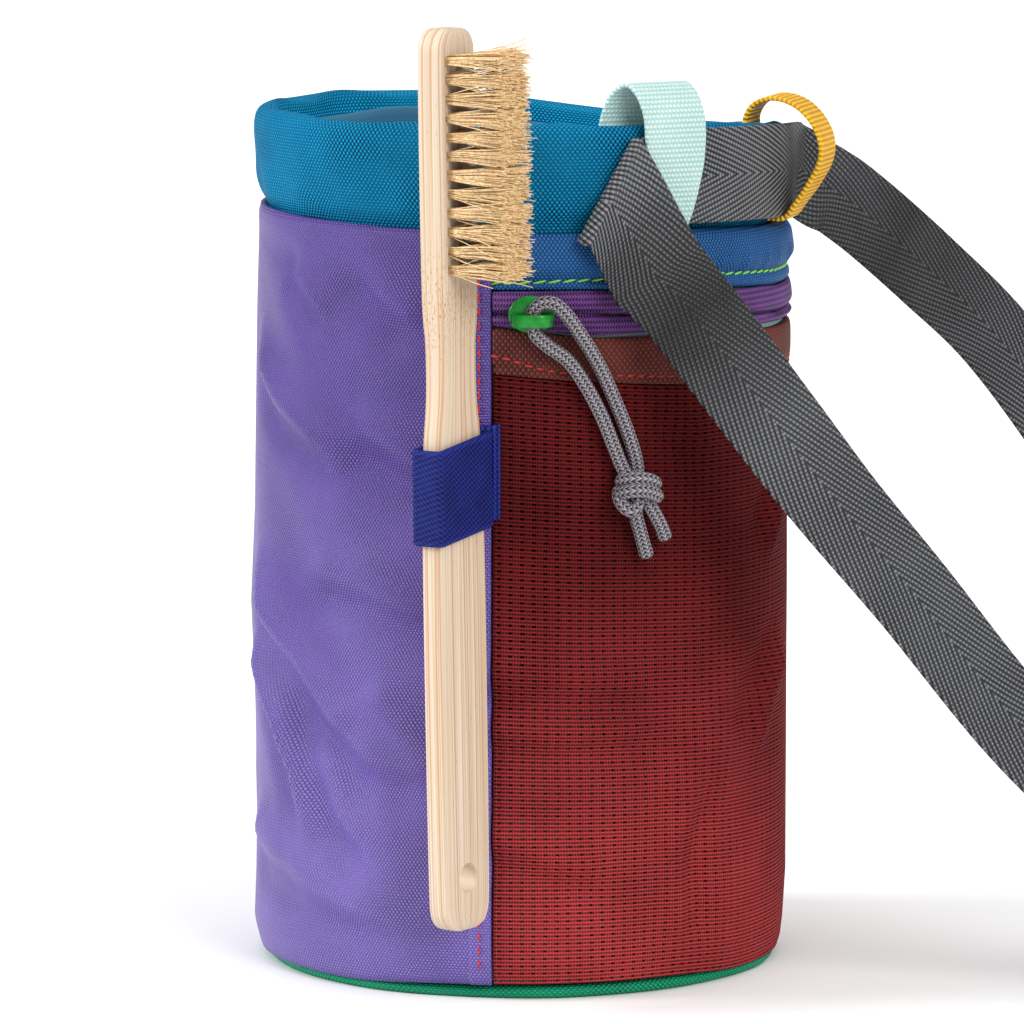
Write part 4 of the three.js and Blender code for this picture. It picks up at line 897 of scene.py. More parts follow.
def grown(source, nodes, **sizes):
    """The plain mesh object that a tree makes from a source object, which is removed."""
    modifier = source.modifiers.new("grow", "NODES")
    modifier.node_group = nodes.tree
    for socket in nodes.tree.interface.items_tree:
        if socket.in_out == "INPUT" and socket.name in sizes:
            modifier[socket.identifier] = sizes[socket.name]
    evaluated = source.evaluated_get(bpy.context.evaluated_depsgraph_get())
    mesh = bpy.data.meshes.new_from_object(evaluated)
    name = source.name
    bpy.data.objects.remove(source)
    made = bpy.data.objects.new(name, mesh)
    mesh.name = name
    bpy.context.scene.collection.objects.link(made)
    return made


def poly_line(name, points):
    """A curve object through points in millimetres."""
    data = bpy.data.curves.new(name, "CURVE")
    data.dimensions = "3D"
    spline = data.splines.new("POLY")
    spline.points.add(len(points) - 1)
    for point, place in zip(spline.points, points):
        point.co = (*(place * MM), 1)
    made = bpy.data.objects.new(name, data)
    bpy.context.scene.collection.objects.link(made)
    return made


def stitching(finish):
    nodes, size = tree("stitching_" + finish.material.name, {"Pitch": 0.003, "Length": 0.0024, "Thickness": 0.0005,
                                                            "Slant": 0.15})
    spaced = nodes.node("GeometryNodeResampleCurve", {"mode": "LENGTH"}, {"Curve": size["Geometry"],
                                                                         "Length": size["Pitch"]})
    ball = nodes.node("GeometryNodeMeshUVSphere", None, {"Segments": 8, "Rings": 7, "Radius": 0.5})
    shape = nodes.node("ShaderNodeCombineXYZ", None, {0: size["Length"], 1: size["Thickness"],
                                                      2: size["Thickness"]})
    stitch = nodes.node("GeometryNodeTransform", None, {"Geometry": ball, "Scale": shape})
    tangent = nodes.node("GeometryNodeInputTangent")
    facing = nodes.node("FunctionNodeAlignRotationToVector", {"axis": "X"}, {"Vector": tangent})
    tilt = nodes.node("ShaderNodeCombineXYZ", None, {1: size["Slant"] * -1})
    slant = nodes.node("FunctionNodeEulerToRotation", None, {0: tilt})
    turned = nodes.node("FunctionNodeRotateRotation", {"rotation_space": "LOCAL"}, {0: facing, 1: slant})
    row = nodes.node("GeometryNodeInstanceOnPoints", None, {"Points": spaced, "Instance": stitch,
                                                           "Rotation": turned})
    smooth = nodes.node("GeometryNodeSetShadeSmooth", None, {"Geometry": row})
    finish_tree(nodes, smooth, finish)
    return nodes


def thread(name, shade, light):
    """Twisted sewing thread."""
    finish = Finish(name, Roughness=0.6, Sheen_Weight=0.1)
    tone = finish.noise(0.35, 2.0)
    finish.show("Base Color", finish.mix(tone, paint(*shade), paint(*light)))
    finish.relief(tone, 0.08)
    return finish


green_thread = thread("green_thread", (0.35, 0.75, 0.15), (0.72, 1.0, 0.42))
red_thread = thread("red_thread", (0.62, 0.07, 0.09), (0.98, 0.25, 0.24))
green_stitching, red_stitching = stitching(green_thread), stitching(red_thread)
row_turns = np.linspace(POCKET_START + 0.5, POCKET_END - 0.5, 300)
binding_line = seam("mesh", row_turns) + 0.17 * (seam("binding", row_turns) - seam("mesh", row_turns))
binding_line = binding_line + 2.2 * np.exp(-((row_turns - POCKET_START) / 7.5) ** 2)
binding_face = BAG_RADIUS + 0.16 + 0.42 * np.exp(-((row_turns - POCKET_START) / 9.0) ** 2)
hem_heights = np.linspace(8, 158, 60)
for row_name, nodes, finish, slot, line, sizes in (
    ("band_stitching", green_stitching, green_thread, "band_cloth",
     around(row_turns, BAG_RADIUS - 0.45, seam("stitch", row_turns) - 0.1),
     {"Pitch": 3.04 * MM, "Length": 3.05 * MM, "Thickness": 0.5 * MM, "Slant": 0.17}),
    ("binding_stitching", red_stitching, red_thread, "binding_elastic",
     around(row_turns, binding_face, binding_line),
     {"Pitch": 2.43 * MM, "Length": 1.6 * MM, "Thickness": 0.5 * MM, "Slant": 0.1}),
    ("hem_stitching", red_stitching, red_thread, "shell_cloth",
     around(FRONT_SEAM - 2.4, wall_radius(FRONT_SEAM - 2.4, hem_heights) + 0.85, hem_heights),
     {"Pitch": 2.9 * MM, "Length": 2.2 * MM, "Thickness": 0.42 * MM, "Slant": 0.0}),
):
    row = grown(poly_line(row_name, line), nodes, **sizes)
    dress(row, finish, slot, "bag")


# Zip slider. A cast slider in green enamel: an oval plate on the coil and a bridge that the cord goes
# under.
SLIDER_TURN = 2.0
slider_seat = TAPE_RADIUS + 0.8
slider_height = float(seam("zip", SLIDER_TURN)) + 0.1
plate_rings = []
for outward, grow in ((0.0, 0.82), (0.05, 0.93), (0.3, 1.0), (0.8, 1.0), (1.05, 0.95), (1.12, 0.86), (1.14, 0.4),
                      (1.14, 0.02)):
    bend = np.linspace(0, 2 * math.pi, 48, endpoint=False)
    plate_rings.append(np.stack([4.85 * grow * np.cos(bend), np.full(48, -(slider_seat + outward)),
                                 3.9 * grow * np.sin(bend)], -1))
plate_rings.insert(0, plate_rings[0] * [0.02, 1, 0.02])
plate = solid("slider_plate", plate_rings, np.zeros((9, 49, 2)))
arch = curve_through([(-3.9, 0.6), (-4.0, 2.2), (-3.7, 4.2), (-2.4, 5.15), (0.0, 5.35), (2.2, 5.1), (3.6, 4.0),
                      (3.95, 2.2), (3.9, 0.6)], 60)
arch_ahead = unit(np.gradient(arch, axis=0))
arch_out = np.stack([-arch_ahead[:, 1], arch_ahead[:, 0]], -1)
corner = [(-0.5, 0.9), (-0.42, 1.22), (-0.25, 1.34), (0.25, 1.34), (0.42, 1.22), (0.5, 0.9), (0.5, -0.9),
          (0.42, -1.22), (0.25, -1.34), (-0.25, -1.34), (-0.42, -1.22), (-0.5, -0.9)]
bridge_loops = []
for (x, depth), (nx, nd) in zip(arch, arch_out):
    bridge_loops.append([(x + a * 0.9 * nx, -(slider_seat + depth + a * 0.9 * nd), b - 1.0) for a, b in corner])
bridge = solid("slider_bridge", bridge_loops, np.zeros((61, 13, 2)))
slider = joined("zip_pull_slider", plate, bridge)
points = np.array([v.co for v in slider.data.vertices])
points = points @ spun(SLIDER_TURN) + [0, 0, slider_height * MM]
slider.data.vertices.foreach_set("co", points.astype(np.float32).ravel())
enamel = Finish("green_enamel", Roughness=0.3, Coat_Weight=0.35, Coat_Roughness=0.15)
wear = enamel.noise(1.6, 4.0)
enamel.show("Base Color", enamel.mix((wear - 0.35) * 2.0, paint(0.01, 0.50, 0.13), paint(0.02, 0.68, 0.20)))
enamel.show("Roughness", wear * 0.3 + 0.2)
enamel.relief(wear, 0.04)
dress(slider, enamel, "slider_enamel", "bag", "zip_slider")


# Brush handle. Pale bamboo, laid up in strips: flat, with a waist below the head, a rounded top and a
# hole through its butt.
BRUSH_LENGTH, BRUSH_WIDTH, BRUSH_THICKNESS = 188.2, 16.0, 5.0
BRUSH_TURN, BRUSH_FACE_TURN, BRUSH_TILT = -10.65, 54.0, 0.86
BRUSH_BUTT = 17.9
BRUSH_RADIUS = BAG_RADIUS + 11.9
HANDLE_HEIGHTS = [0.0, 0.002, 0.006, 0.012, 0.02, 0.04, 0.4, 0.52, 0.6, 0.65, 0.71, 0.972, 0.985, 0.994, 0.998, 1.0]
HANDLE_WIDTHS = [0.4, 0.56, 0.72, 0.84, 0.92, 0.96, 1.0, 0.93, 0.73, 0.7, 0.77, 0.77, 0.72, 0.6, 0.48, 0.34]
HANDLE_THICK = [0.86, 0.94, 1.0, 1.0, 1.0, 1.0, 1.0, 1.0, 1.02, 1.08, 1.2, 1.2, 1.2, 1.18, 1.12, 1.04]


def on_brush(points):
    """Places points of the brush's own frame: bristles along +X, width along +Y, butt at 0."""
    face, tilt = math.radians(BRUSH_FACE_TURN - 90), math.radians(-BRUSH_TILT)
    spin = np.array([[math.cos(face), -math.sin(face), 0], [math.sin(face), math.cos(face), 0], [0, 0, 1]])
    lean = np.array([[math.cos(tilt), 0, math.sin(tilt)], [0, 1, 0], [-math.sin(tilt), 0, math.cos(tilt)]])
    return points @ (lean @ spin).T + around(BRUSH_TURN, BRUSH_RADIUS, BRUSH_BUTT)


def rounded(half_x, half_y, radius, steps=4):
    """Outline of a rectangle with rounded corners, from the +Y end of its +X side."""
    bend = np.radians(np.linspace(0, 90, steps + 1))
    out = []
    for k, (cx, cy) in enumerate(((1, 1), (-1, 1), (-1, -1), (1, -1))):
        a = bend + k * math.pi / 2
        out.append(np.stack([cx * (half_x - radius) + radius * np.cos(a),
                             cy * (half_y - radius) + radius * np.sin(a)], -1))
    return np.roll(np.concatenate(out), -(steps + 1) // 2, axis=0)


levels = np.unique(np.concatenate([np.linspace(0, 1, 110), HANDLE_HEIGHTS]))
profile = curve_through(np.stack([HANDLE_HEIGHTS, HANDLE_WIDTHS, HANDLE_THICK], -1), 600)
widths, thicks = (np.interp(levels, profile[:, 0], profile[:, k]) for k in (1, 2))
handle_loops = []
for level_share, width, thick in zip(levels, widths, thicks):
    outline = rounded(thick * BRUSH_THICKNESS / 2, width * BRUSH_WIDTH / 2, 0.8)
    handle_loops.append(np.column_stack([outline, np.full(len(outline), level_share * BRUSH_LENGTH)]))
handle_loops = np.array(handle_loops)
girth = run_of(closed(handle_loops[40]))
handle_uv = grid_of((levels * BRUSH_LENGTH)[:, None], girth[None])
handle = solid("brush_handle_bamboo", on_brush(handle_loops), handle_uv)
drill_rings = []
bend = np.linspace(0, 2 * math.pi, 40, endpoint=False)
for depth, radius in (
    (-6, 3.9), (-2.9, 3.5), (-2.35, 3.05), (-1.8, 2.95), (1.8, 2.95), (2.35, 3.05), (2.9, 3.5), (6, 3.9),
):
    drill_rings.append(np.stack([np.full(40, float(depth)), radius * np.cos(bend),
                                 0.058 * BRUSH_LENGTH + radius * np.sin(bend)], -1))
cut_out(handle, solid("drill", on_brush(np.array(drill_rings)), np.zeros((8, 41, 2))))
handle.data.set_sharp_from_angle(angle=math.radians(40))

NODE_HEIGHT = 131.0
bamboo = Finish("bamboo", Roughness=0.5, Specular_IOR_Level=0.3)
along, across = bamboo.along_across()
grain = bamboo.noise(1.0, 3.0, bamboo.vector(along * 0.01, across * 2.2))
strips = bamboo.noise(1.0, 1.0, bamboo.vector(along * 0.002, across * 0.5, 7.0))
pores = bamboo.noise(1.0, 2.0, bamboo.vector(along * 0.35, across * 3.4, 3.0))
node_bands = abs(along - NODE_HEIGHT) * -0.055 + 0.9
fibres = bamboo.noise(1.0, 2.0, bamboo.vector(along * 0.9, across * 2.6, 11.0))
tone = bamboo.mix((grain - 0.40) * 3.4, paint(0.87, 0.765, 0.63), paint(0.955, 0.90, 0.845))
tone = bamboo.mix((strips - 0.5) * 2.4, tone, paint(0.90, 0.83, 0.75))
lines = bamboo.noise(1.0, 2.0, bamboo.vector(along * 0.006, across * 1.9, 5.0))
tone = bamboo.mix(((lines - 0.53) * 9.0).math("MINIMUM", 0.8), tone, paint(0.80, 0.61, 0.43))
tone = bamboo.mix((fibres - 0.54) * 9.0 * node_bands.math("MAXIMUM", 0.0), tone, paint(0.78, 0.58, 0.39))
tone = bamboo.mix((pores > 0.72) * 0.55, tone, paint(0.55, 0.38, 0.24))
bamboo.show("Base Color", tone)
bamboo.relief(grain * 0.7 + pores * 0.3, 0.06)
dress(handle, bamboo, "bamboo", "brush", "brush_handle")


# Bristles. Twelve rows of three tufts stand in the head. Each tuft leaves its hole as a tight bundle
# and its natural bristles spread and cross until the tips make one ragged brush.
tuft_rows = np.arange(12)
roots = np.array([
    (BRUSH_THICKNESS * 0.6 - 0.6, column * 3.5, BRUSH_LENGTH - 6.3 - row * 3.93)
    for row in tuft_rows for column in (-1, 0, 1)
])
root_mesh = bpy.data.meshes.new("tuft_roots")
root_mesh.from_pydata((on_brush(roots) * MM).tolist(), [], [])
tuft_roots = bpy.data.objects.new("brush_hair", root_mesh)
bpy.context.scene.collection.objects.link(tuft_roots)
straight, wide, upward = (unit(on_brush(np.array([[a, b, c]])) - on_brush(np.zeros((1, 3))))[0]
                          for a, b, c in ((1, 0, 0), (0, 1, 0), (0, 0, 1)))


def hair_tree(finish):
    """Copies a bristle many times on each root, each with its own lean, length and bend."""
    nodes, size = tree("hair", {"Bristles": 118, "Length": 0.0152, "Thickness": 0.0002, "Root": 0.00086,
                                "Spread": 0.055})
    copies = nodes.node("GeometryNodeDuplicateElements", {"domain": "POINT"}, {"Geometry": size["Geometry"],
                                                                             "Amount": size["Bristles"]})

    def random(low, high, seed):
        return nodes.node("FunctionNodeRandomValue", {"data_type": "FLOAT"}, {2: low, 3: high, "Seed": seed}, 1)

    def scaled(direction, value):
        return nodes.node("ShaderNodeVectorMath", {"operation": "SCALE"}, {0: tuple(direction), "Scale": value})

    def total(*vectors):
        result = vectors[0]
        for vector in vectors[1:]:
            result = nodes.node("ShaderNodeVectorMath", {"operation": "ADD"}, {0: result, 1: vector})
        return result

    across, up = random(-1.0, 1.0, 3), random(-1.0, 1.0, 4)
    stray = random(0.0, 1.0, 5) ** 9 * 0.3
    offset = total(scaled(wide, across * size["Root"]), scaled(upward, up * size["Root"]))
    placed = nodes.node("GeometryNodeSetPosition", None, {"Geometry": copies, "Offset": offset})
    lean = total(
        scaled(straight, random(0.97, 1.0, 6)),
        scaled(wide, across * size["Spread"] + random(-0.029, 0.029, 7) + stray * random(-1.0, 1.0, 8)),
        scaled(upward, up * size["Spread"] + random(-0.027, 0.027, 9) + stray * random(-1.0, 1.0, 10)),
    )
    facing = nodes.node("FunctionNodeAlignRotationToVector", {"axis": "Z"}, {"Vector": lean})
    bristle = nodes.node("GeometryNodeMeshCylinder", {"fill_type": "NGON"}, {
        "Vertices": 4, "Side Segments": 3, "Fill Segments": 1, "Radius": size["Thickness"] * 0.5,
        "Depth": size["Length"],
    })
    lift = nodes.node("ShaderNodeCombineXYZ", None, {2: size["Length"] * 0.5})
    rooted = nodes.node("GeometryNodeTransform", None, {"Geometry": bristle, "Translation": lift})
    grow = nodes.node("ShaderNodeCombineXYZ", None, {0: 1.0, 1: 1.0, 2: random(0.9, 1.04, 11)})
    hairs = nodes.node("GeometryNodeInstanceOnPoints", None, {"Points": placed, "Instance": rooted,
                                                             "Rotation": facing, "Scale": grow})
    real = nodes.node("GeometryNodeRealizeInstances", None, {0: hairs})
    place = nodes.node("GeometryNodeInputPosition")
    wander = nodes.node("ShaderNodeTexNoise", {"noise_dimensions": "3D"}, {"Vector": place, "Scale": 170.0,
                                                                          "Detail": 1.0}, 1)
    centred = nodes.node("ShaderNodeVectorMath", {"operation": "SUBTRACT"}, {0: wander, 1: (0.5, 0.5, 0.5)})
    bend = nodes.node("ShaderNodeVectorMath", {"operation": "SCALE"}, {0: centred, "Scale": 0.0011})
    bent = nodes.node("GeometryNodeSetPosition", None, {"Geometry": real, "Offset": bend})
    smooth = nodes.node("GeometryNodeSetShadeSmooth", None, {"Geometry": bent})
    finish_tree(nodes, smooth, finish)
    return nodes


hair = Finish("natural_bristle", Roughness=0.55, Specular_IOR_Level=0.4)
streaks = hair.noise(0.7, 3.0)
clumps = hair.noise(5.0, 1.0)
tone = hair.mix((streaks - 0.3) * 2.2, paint(0.92, 0.70, 0.46), paint(1.2, 1.03, 0.82))
hair.show("Base Color", hair.mix((clumps - 0.55) * 2.0, tone, paint(0.97, 0.79, 0.55)))
hair.relief(streaks, 0.05)
bristles = grown(tuft_roots, hair_tree(hair))
dress(bristles, hair, "bristle", "brush", "brush_bristles")


# Brush loop. Royal blue ribbed elastic: a ring round the handle and a flat tab sewn over the front seam.
ELASTIC_WIDTH, ELASTIC_WALL, ELASTIC_HEIGHT, ELASTIC_RISE = 20.0, 1.2, 100.7, 0.137
inner_line = rounded(BRUSH_THICKNESS / 2 + 0.3, BRUSH_WIDTH / 2 + 0.3, 0.6, 5)
outer_line = rounded(BRUSH_THICKNESS / 2 + 0.3 + ELASTIC_WALL, BRUSH_WIDTH / 2 + 0.3 + ELASTIC_WALL, 1.4, 5)
mid_line = (inner_line + outer_line) / 2
band_rows = np.concatenate([[0, 0.012, 0.035], np.linspace(0.07, 0.93, 9), [0.965, 0.988, 1]])
edge = np.clip(np.minimum(band_rows, 1 - band_rows) / 0.035, 0, 1) ** 0.5
ring_loops = []
for outline_in, outline_out in zip(inner_line, outer_line):
    middle = (outline_in + outline_out) / 2
    heights = ELASTIC_HEIGHT - BRUSH_BUTT + band_rows * ELASTIC_WIDTH + ELASTIC_RISE * middle[1]
    swell = 0.35 + 0.65 * edge
    hem = 0.12 * ((band_rows < 0.06) | (band_rows > 0.94))
    out_pts = middle + (outline_out - middle) * (swell + hem)[:, None]
    in_pts = middle + (outline_in - middle) * swell[:, None]
    outside, inside = np.column_stack([out_pts, heights]), np.column_stack([in_pts, heights])
    ring_loops.append(np.concatenate([outside, inside[::-1]]))
ring_loops = np.array(ring_loops)
ring_run = run_of(closed(mid_line))[:, None]
one = np.broadcast_to(band_rows * ELASTIC_WIDTH, (len(ring_run), len(band_rows)))
ring_v = np.concatenate([one, one[:, ::-1], one[:, :1]], 1)
ring_uv = grid_of(ring_run, ring_v)
elastic = solid("elastic_ring", on_brush(ring_loops), ring_uv, ring=True)

TAB_START, TAB_END, TAB_SEAT = -12.0, -4.3, 1.1
RIB_PITCH = 1.15
tab_turns = np.linspace(TAB_START, TAB_END, 24)
tab_run = BRUSH_WIDTH / 2 + 1.6 + BAG_RADIUS * np.radians(tab_turns - BRUSH_TURN)
tab_foot = ELASTIC_HEIGHT + ELASTIC_RISE * tab_run
tab_heights = tab_foot[:, None] + band_rows[None] * ELASTIC_WIDTH
ends = np.clip(np.minimum(tab_turns - TAB_START, TAB_END - tab_turns) / 0.4, 0.0, 1)[:, None] ** 0.5
tab_face = BAG_RADIUS + TAB_SEAT + 0.5 + 1.1 * ends * (0.4 + 0.6 * edge[None])
tab_ridges = np.sin(np.radians(tab_turns[:, None]) * BAG_RADIUS * 2 * math.pi / RIB_PITCH)
tab_face = tab_face + 0.3 * tab_ridges * ends
tab = panel("elastic_tab", tab_turns, tab_heights, tab_face, tab_face - BAG_RADIUS - TAB_SEAT)
elastic = joined("brush_loop_elastic", elastic, tab)
blue_elastic = Finish("blue_elastic", Roughness=0.6, Specular_IOR_Level=0.1)
along, across = blue_elastic.along_across()
ribs = ((across / RIB_PITCH - along / 3.0) * (2 * math.pi)).math("SINE")
dashes = ((along / 1.0 + across / 1.08) * (2 * math.pi)).math("SINE")
near_edge = (abs(across - ELASTIC_WIDTH / 2) > ELASTIC_WIDTH / 2 - 0.9) * 0.22
on_tab = along < -0.01
tab_ribs = (along * (2 * math.pi / RIB_PITCH)).math("SINE") * on_tab
tone = ribs * 0.17 + dashes * 0.2 + 0.36 + near_edge + tab_ribs * 0.4 + (blue_elastic.noise(6.0) - 0.5) * 0.4
blue_elastic.show("Base Color", blue_elastic.mix(tone, paint(0.05, 0.055, 0.23), paint(0.18, 0.24, 0.63)))
blue_elastic.relief(ribs * 0.2 + dashes * 0.25 + 0.5, 0.3)
dress(elastic, blue_elastic, "loop_elastic", "bag", "brush_loop")


# Belt. Grey 20 mm webbing in a herringbone weave runs from the buckle to a fold at the mint loop, round
# the collar through both loops and back to the buckle.
BELT_WIDTH, BELT_WALL = 20.0, 1.3
BELT_RADIUS = BAG_RADIUS + 0.3 + BELT_WALL / 2
BELT_HEIGHT = RIM_HEIGHT - 11
FOLD_TURN, FOLD_LEAN = 19.0, 28.0
FRONT_STRAND = [
    (4.73, -0.28, 0.0, 0), (4.73, -0.36, 0.0, 0), (4.72, -0.44, 0.0, 0), (4.6, -0.56, 0.0, 0),
    (4.2, -0.68, 0.0, 0), (3.6, -0.76, 0.0, 0), (3.02, -0.86, 0.062, 6), (2.6, -0.97, 0.12, 16),
    (2.2, -1.04, 0.205, 24), (1.82, -1.09, 0.316, 27), (1.4, -1.13, 0.479, 27), (1.12, -1.135, 0.584, 25),
    (0.888, -1.11, 0.678, 20), (0.673, -1.08, 0.767, 13), (0.5, -1.05, 0.836, 8),
]
BACK_STRAND = [
    (1.022, -0.03, 0.928, 0), (1.055, 0.045, 0.92, 4), (1.112, 0.09, 0.906, 10), (1.17, 0.121, 0.896, 16),
    (1.277, 0.17, 0.871, 16), (1.54, 0.294, 0.797, 15), (1.808, 0.424, 0.713, 16), (2.25, 0.588, 0.524, 18),
    (2.7, 0.72, 0.33, 14), (3.1, 0.8, 0.16, 8), (3.5, 0.82, 0.07, 2), (3.9, 0.78, 0.0, 0),
    (4.3, 0.68, 0.0, 0), (4.6, 0.56, 0.0, 0), (4.72, 0.44, 0.0, 0), (4.73, 0.36, 0.0, 0),
    (4.73, 0.28, 0.0, 0),
]


def strand_edges(rows, steps):
    """Upper and lower edge of a free strand, whose width stands upright but for its lean."""
    places = [(a * BAG_RADIUS, b * BAG_RADIUS, max(c * RIM_HEIGHT, BELT_WIDTH / 2 + 2.3)) for a, b, c, _ in rows]
    centres = curve_through(places, steps)
    ahead = unit(np.gradient(centres, axis=0))
    leans = np.interp(np.linspace(0, len(rows) - 1, steps + 1), np.arange(len(rows)), [r[3] for r in rows])
    side = unit(np.cross(ahead, [0, 0, 1]))
    across = np.cross(side, ahead)
    turned = np.radians(leans) * -np.where(side[:, 1] > 0, -1, 1)
    across = across * np.cos(turned)[:, None] + np.cross(ahead, across) * np.sin(turned)[:, None]
    return centres + across * BELT_WIDTH / 2, centres - across * BELT_WIDTH / 2


def fold_edges():
    """The soft fold at the mint loop, from the front strand back to the collar."""
    front = BELT_RADIUS + BELT_WALL + 1.0 + 0.9
    bend_radius = (front - BELT_RADIUS) / 2 * np.array([0.62, 1.15])[:, None, None]
    centre = around(FOLD_TURN, (front + BELT_RADIUS) / 2, BELT_HEIGHT - 2)
    turn, lean = math.radians(FOLD_TURN), math.radians(FOLD_LEAN)
    outward = np.array([math.sin(turn), -math.cos(turn), 0])
    line = np.array([math.cos(turn) * math.sin(lean), math.sin(turn) * math.sin(lean), math.cos(lean)])
    leftward = unit(np.cross(line, outward))
    leftward = -leftward if leftward[0] > 0 else leftward
    half = line * BELT_WIDTH / 2 / math.cos(lean)
    bends = np.radians(np.linspace(0, 180, 13))[:, None]
    upper, lower = centre + bend_radius * (outward * np.cos(bends) + leftward * np.sin(bends))
    return upper + half, lower - half * 1.2


collar_turns = np.array([30, 36, 44, 52, 60, 68, 75, 81.0])
collar_sag = 0.65 * (rim_height(collar_turns) - RIM_HEIGHT)
collar_part = around(collar_turns, BELT_RADIUS, BELT_HEIGHT + collar_sag)
half_up = np.array([0, 0, BELT_WIDTH / 2])
front_upper, front_lower = strand_edges(FRONT_STRAND, 84)
front_lower[-3:, 0] -= [0.3, 0.8, 1.4]
stretches = [(front_upper, front_lower), fold_edges(), (collar_part + half_up, collar_part - half_up),
             strand_edges(BACK_STRAND, 96)]
upper = np.concatenate([edges[0] for edges in stretches])
lower = np.concatenate([edges[1] for edges in stretches])
fine = 3 * (len(upper) - 1)
upper, lower = curve_through(upper, fine), curve_through(lower, fine)


def strap(name, upper, lower, wall):
    """Webbing between two edge lines, with rounded selvages."""
    centres, half = (upper + lower) / 2, (upper - lower) / 2
    ahead = unit(np.gradient(centres, axis=0))
    normal = unit(np.cross(ahead, half))
    shares = np.concatenate([[1, 0.99, 0.96], np.linspace(0.88, -0.88, 9), [-0.96, -0.99, -1]])
    thick = np.concatenate([[0.2, 0.7, 1.0], np.ones(9), [1.0, 0.7, 0.2]]) * wall / 2
    middle = centres[:, None] + half[:, None] * shares[None, :, None]
    thickness = normal[:, None] * thick[None, :, None]
    outer, inner = middle + thickness, middle - thickness
    loops = np.concatenate([outer, inner[:, ::-1]], 1)
    run = run_of(centres)[:, None]
    v = (shares[None] + 1) * np.linalg.norm(half, axis=1)[:, None]
    uv_v = np.concatenate([v, v[:, ::-1], v[:, :1]], 1)
    return solid(name, loops, grid_of(run, uv_v))


belt_run = run_of((upper + lower) / 2)
stretch_ends = np.cumsum([len(edges[0]) for edges in stretches])
fold_middle, free_start = stretch_ends[0] + 6, stretch_ends[2]
fold_run, free_run = belt_run[[3 * fold_middle, 3 * free_start]]


def herringbone():
    """Ribs of floats in two halves that meet in chevrons along the middle, with dark gaps between.
    Painted shade darkens the webbing before the fold and past the mustard loop, painted light brightens it over the
    collar, and a painted highlight lies on the fold."""
    finish = Finish("grey_webbing", Roughness=0.45, Specular_IOR_Level=0.35)
    along, across = finish.along_across()
    from_middle = abs(across - BELT_WIDTH / 2)
    ribs = ((along / 3.1 + from_middle / 1.1) * (2 * math.pi)).math("SINE") * 0.5 + 0.5
    floats = ((along / 0.9 - from_middle / 3.6) * (2 * math.pi)).math("SINE") * 0.5 + 0.5
    cells = ribs * (floats * 0.75 + 0.25)
    drift = finish.noise(18.0, 3.0) - 0.5
    # Painted shade before the fold and past the mustard loop, painted light over the collar and a painted highlight
    # at the fold, all set by the distance along the belt.
    painted_shade = (1 - abs(along - (fold_run - 32)) / 30).math("MAXIMUM", 0.0)
    painted_shade = painted_shade + (1 - abs(along - (free_run + 34)) / 60).math("MAXIMUM", 0.0)
    painted_collar_light = (along > fold_run + 6) * (along < free_run - 4)
    painted_fold_highlight = (1 - abs(along - fold_run + 3) / 8).math("MAXIMUM", 0.0)
    tone = cells * (1.1 + painted_collar_light * 0.3 - painted_shade * 0.75 + painted_fold_highlight * 0.9) + drift * 0.3 - 0.05
    finish.show("Base Color", finish.mix(tone, paint(0.06, 0.06, 0.07), paint(0.64, 0.65, 0.67)))
    finish.relief(cells, 0.55)
    return finish


grey_webbing = herringbone()
belt = strap("belt_webbing", upper, lower, BELT_WALL)
dress(belt, grey_webbing, "belt_webbing", "bag", "belt")


# Buckle. A plain black moulded block closes the belt behind, with a slot for the webbing at each end
# and a parting groove round its middle.
BUCKLE_PLACE = (4.73 * BAG_RADIUS, 0.0, 12.3)
buckle_half = (2.95, 22.2, 12.3)
lengths = [-1, -0.99, -0.96, -0.5, -0.1, -0.06, -0.04, 0.04, 0.06, 0.1, 0.5, 0.96, 0.99, 1]
sizes = [0.93, 0.97, 1, 1, 1, 0.97, 0.93, 0.93, 0.97, 1, 1, 1, 0.97, 0.93]
block_loops = []
for place_share, grow in zip(lengths, sizes):
    outline = rounded(buckle_half[0] * (1 - (1 - grow) * 2), buckle_half[2] * grow, 1.4)
    block_loops.append(np.column_stack([
        outline[:, 0] + BUCKLE_PLACE[0], np.full(len(outline), place_share * buckle_half[1]),
        outline[:, 1] + BUCKLE_PLACE[2],
    ]))
buckle = solid("belt_buckle_block", block_loops, np.zeros((len(block_loops), len(block_loops[0]) + 1, 2)))
for end in (-1, 1):
    slot_loops = []
    for depth, grow in ((6.6, 0.9), (6.4, 1.0), (0.6, 1.0), (0.0, 1.35), (-2.0, 1.6)):
        outline = rounded(0.95 * grow, 10.3 + 0.95 * (grow - 1), 0.4)
        slot_loops.append(np.column_stack([
            outline[:, 0] + BUCKLE_PLACE[0], np.full(len(outline), end * (buckle_half[1] - depth)),
            outline[:, 1] + BUCKLE_PLACE[2],
        ]))
    cut_out(buckle, solid("slot_cutter", slot_loops, np.zeros((5, len(slot_loops[0]) + 1, 2))))
buckle.data.set_sharp_from_angle(angle=math.radians(40))
black_plastic = Finish("black_plastic", Roughness=0.5)
grain = black_plastic.noise(0.3, 3.0)
black_plastic.show("Base Color", black_plastic.mix(black_plastic.noise(12.0), paint(0.12, 0.12, 0.13),
                                                   paint(0.19, 0.19, 0.2)))
black_plastic.show("Roughness", grain * 0.25 + 0.4)
black_plastic.relief(grain, 0.05)
dress(buckle, black_plastic, "buckle_plastic", "bag", "belt_buckle")


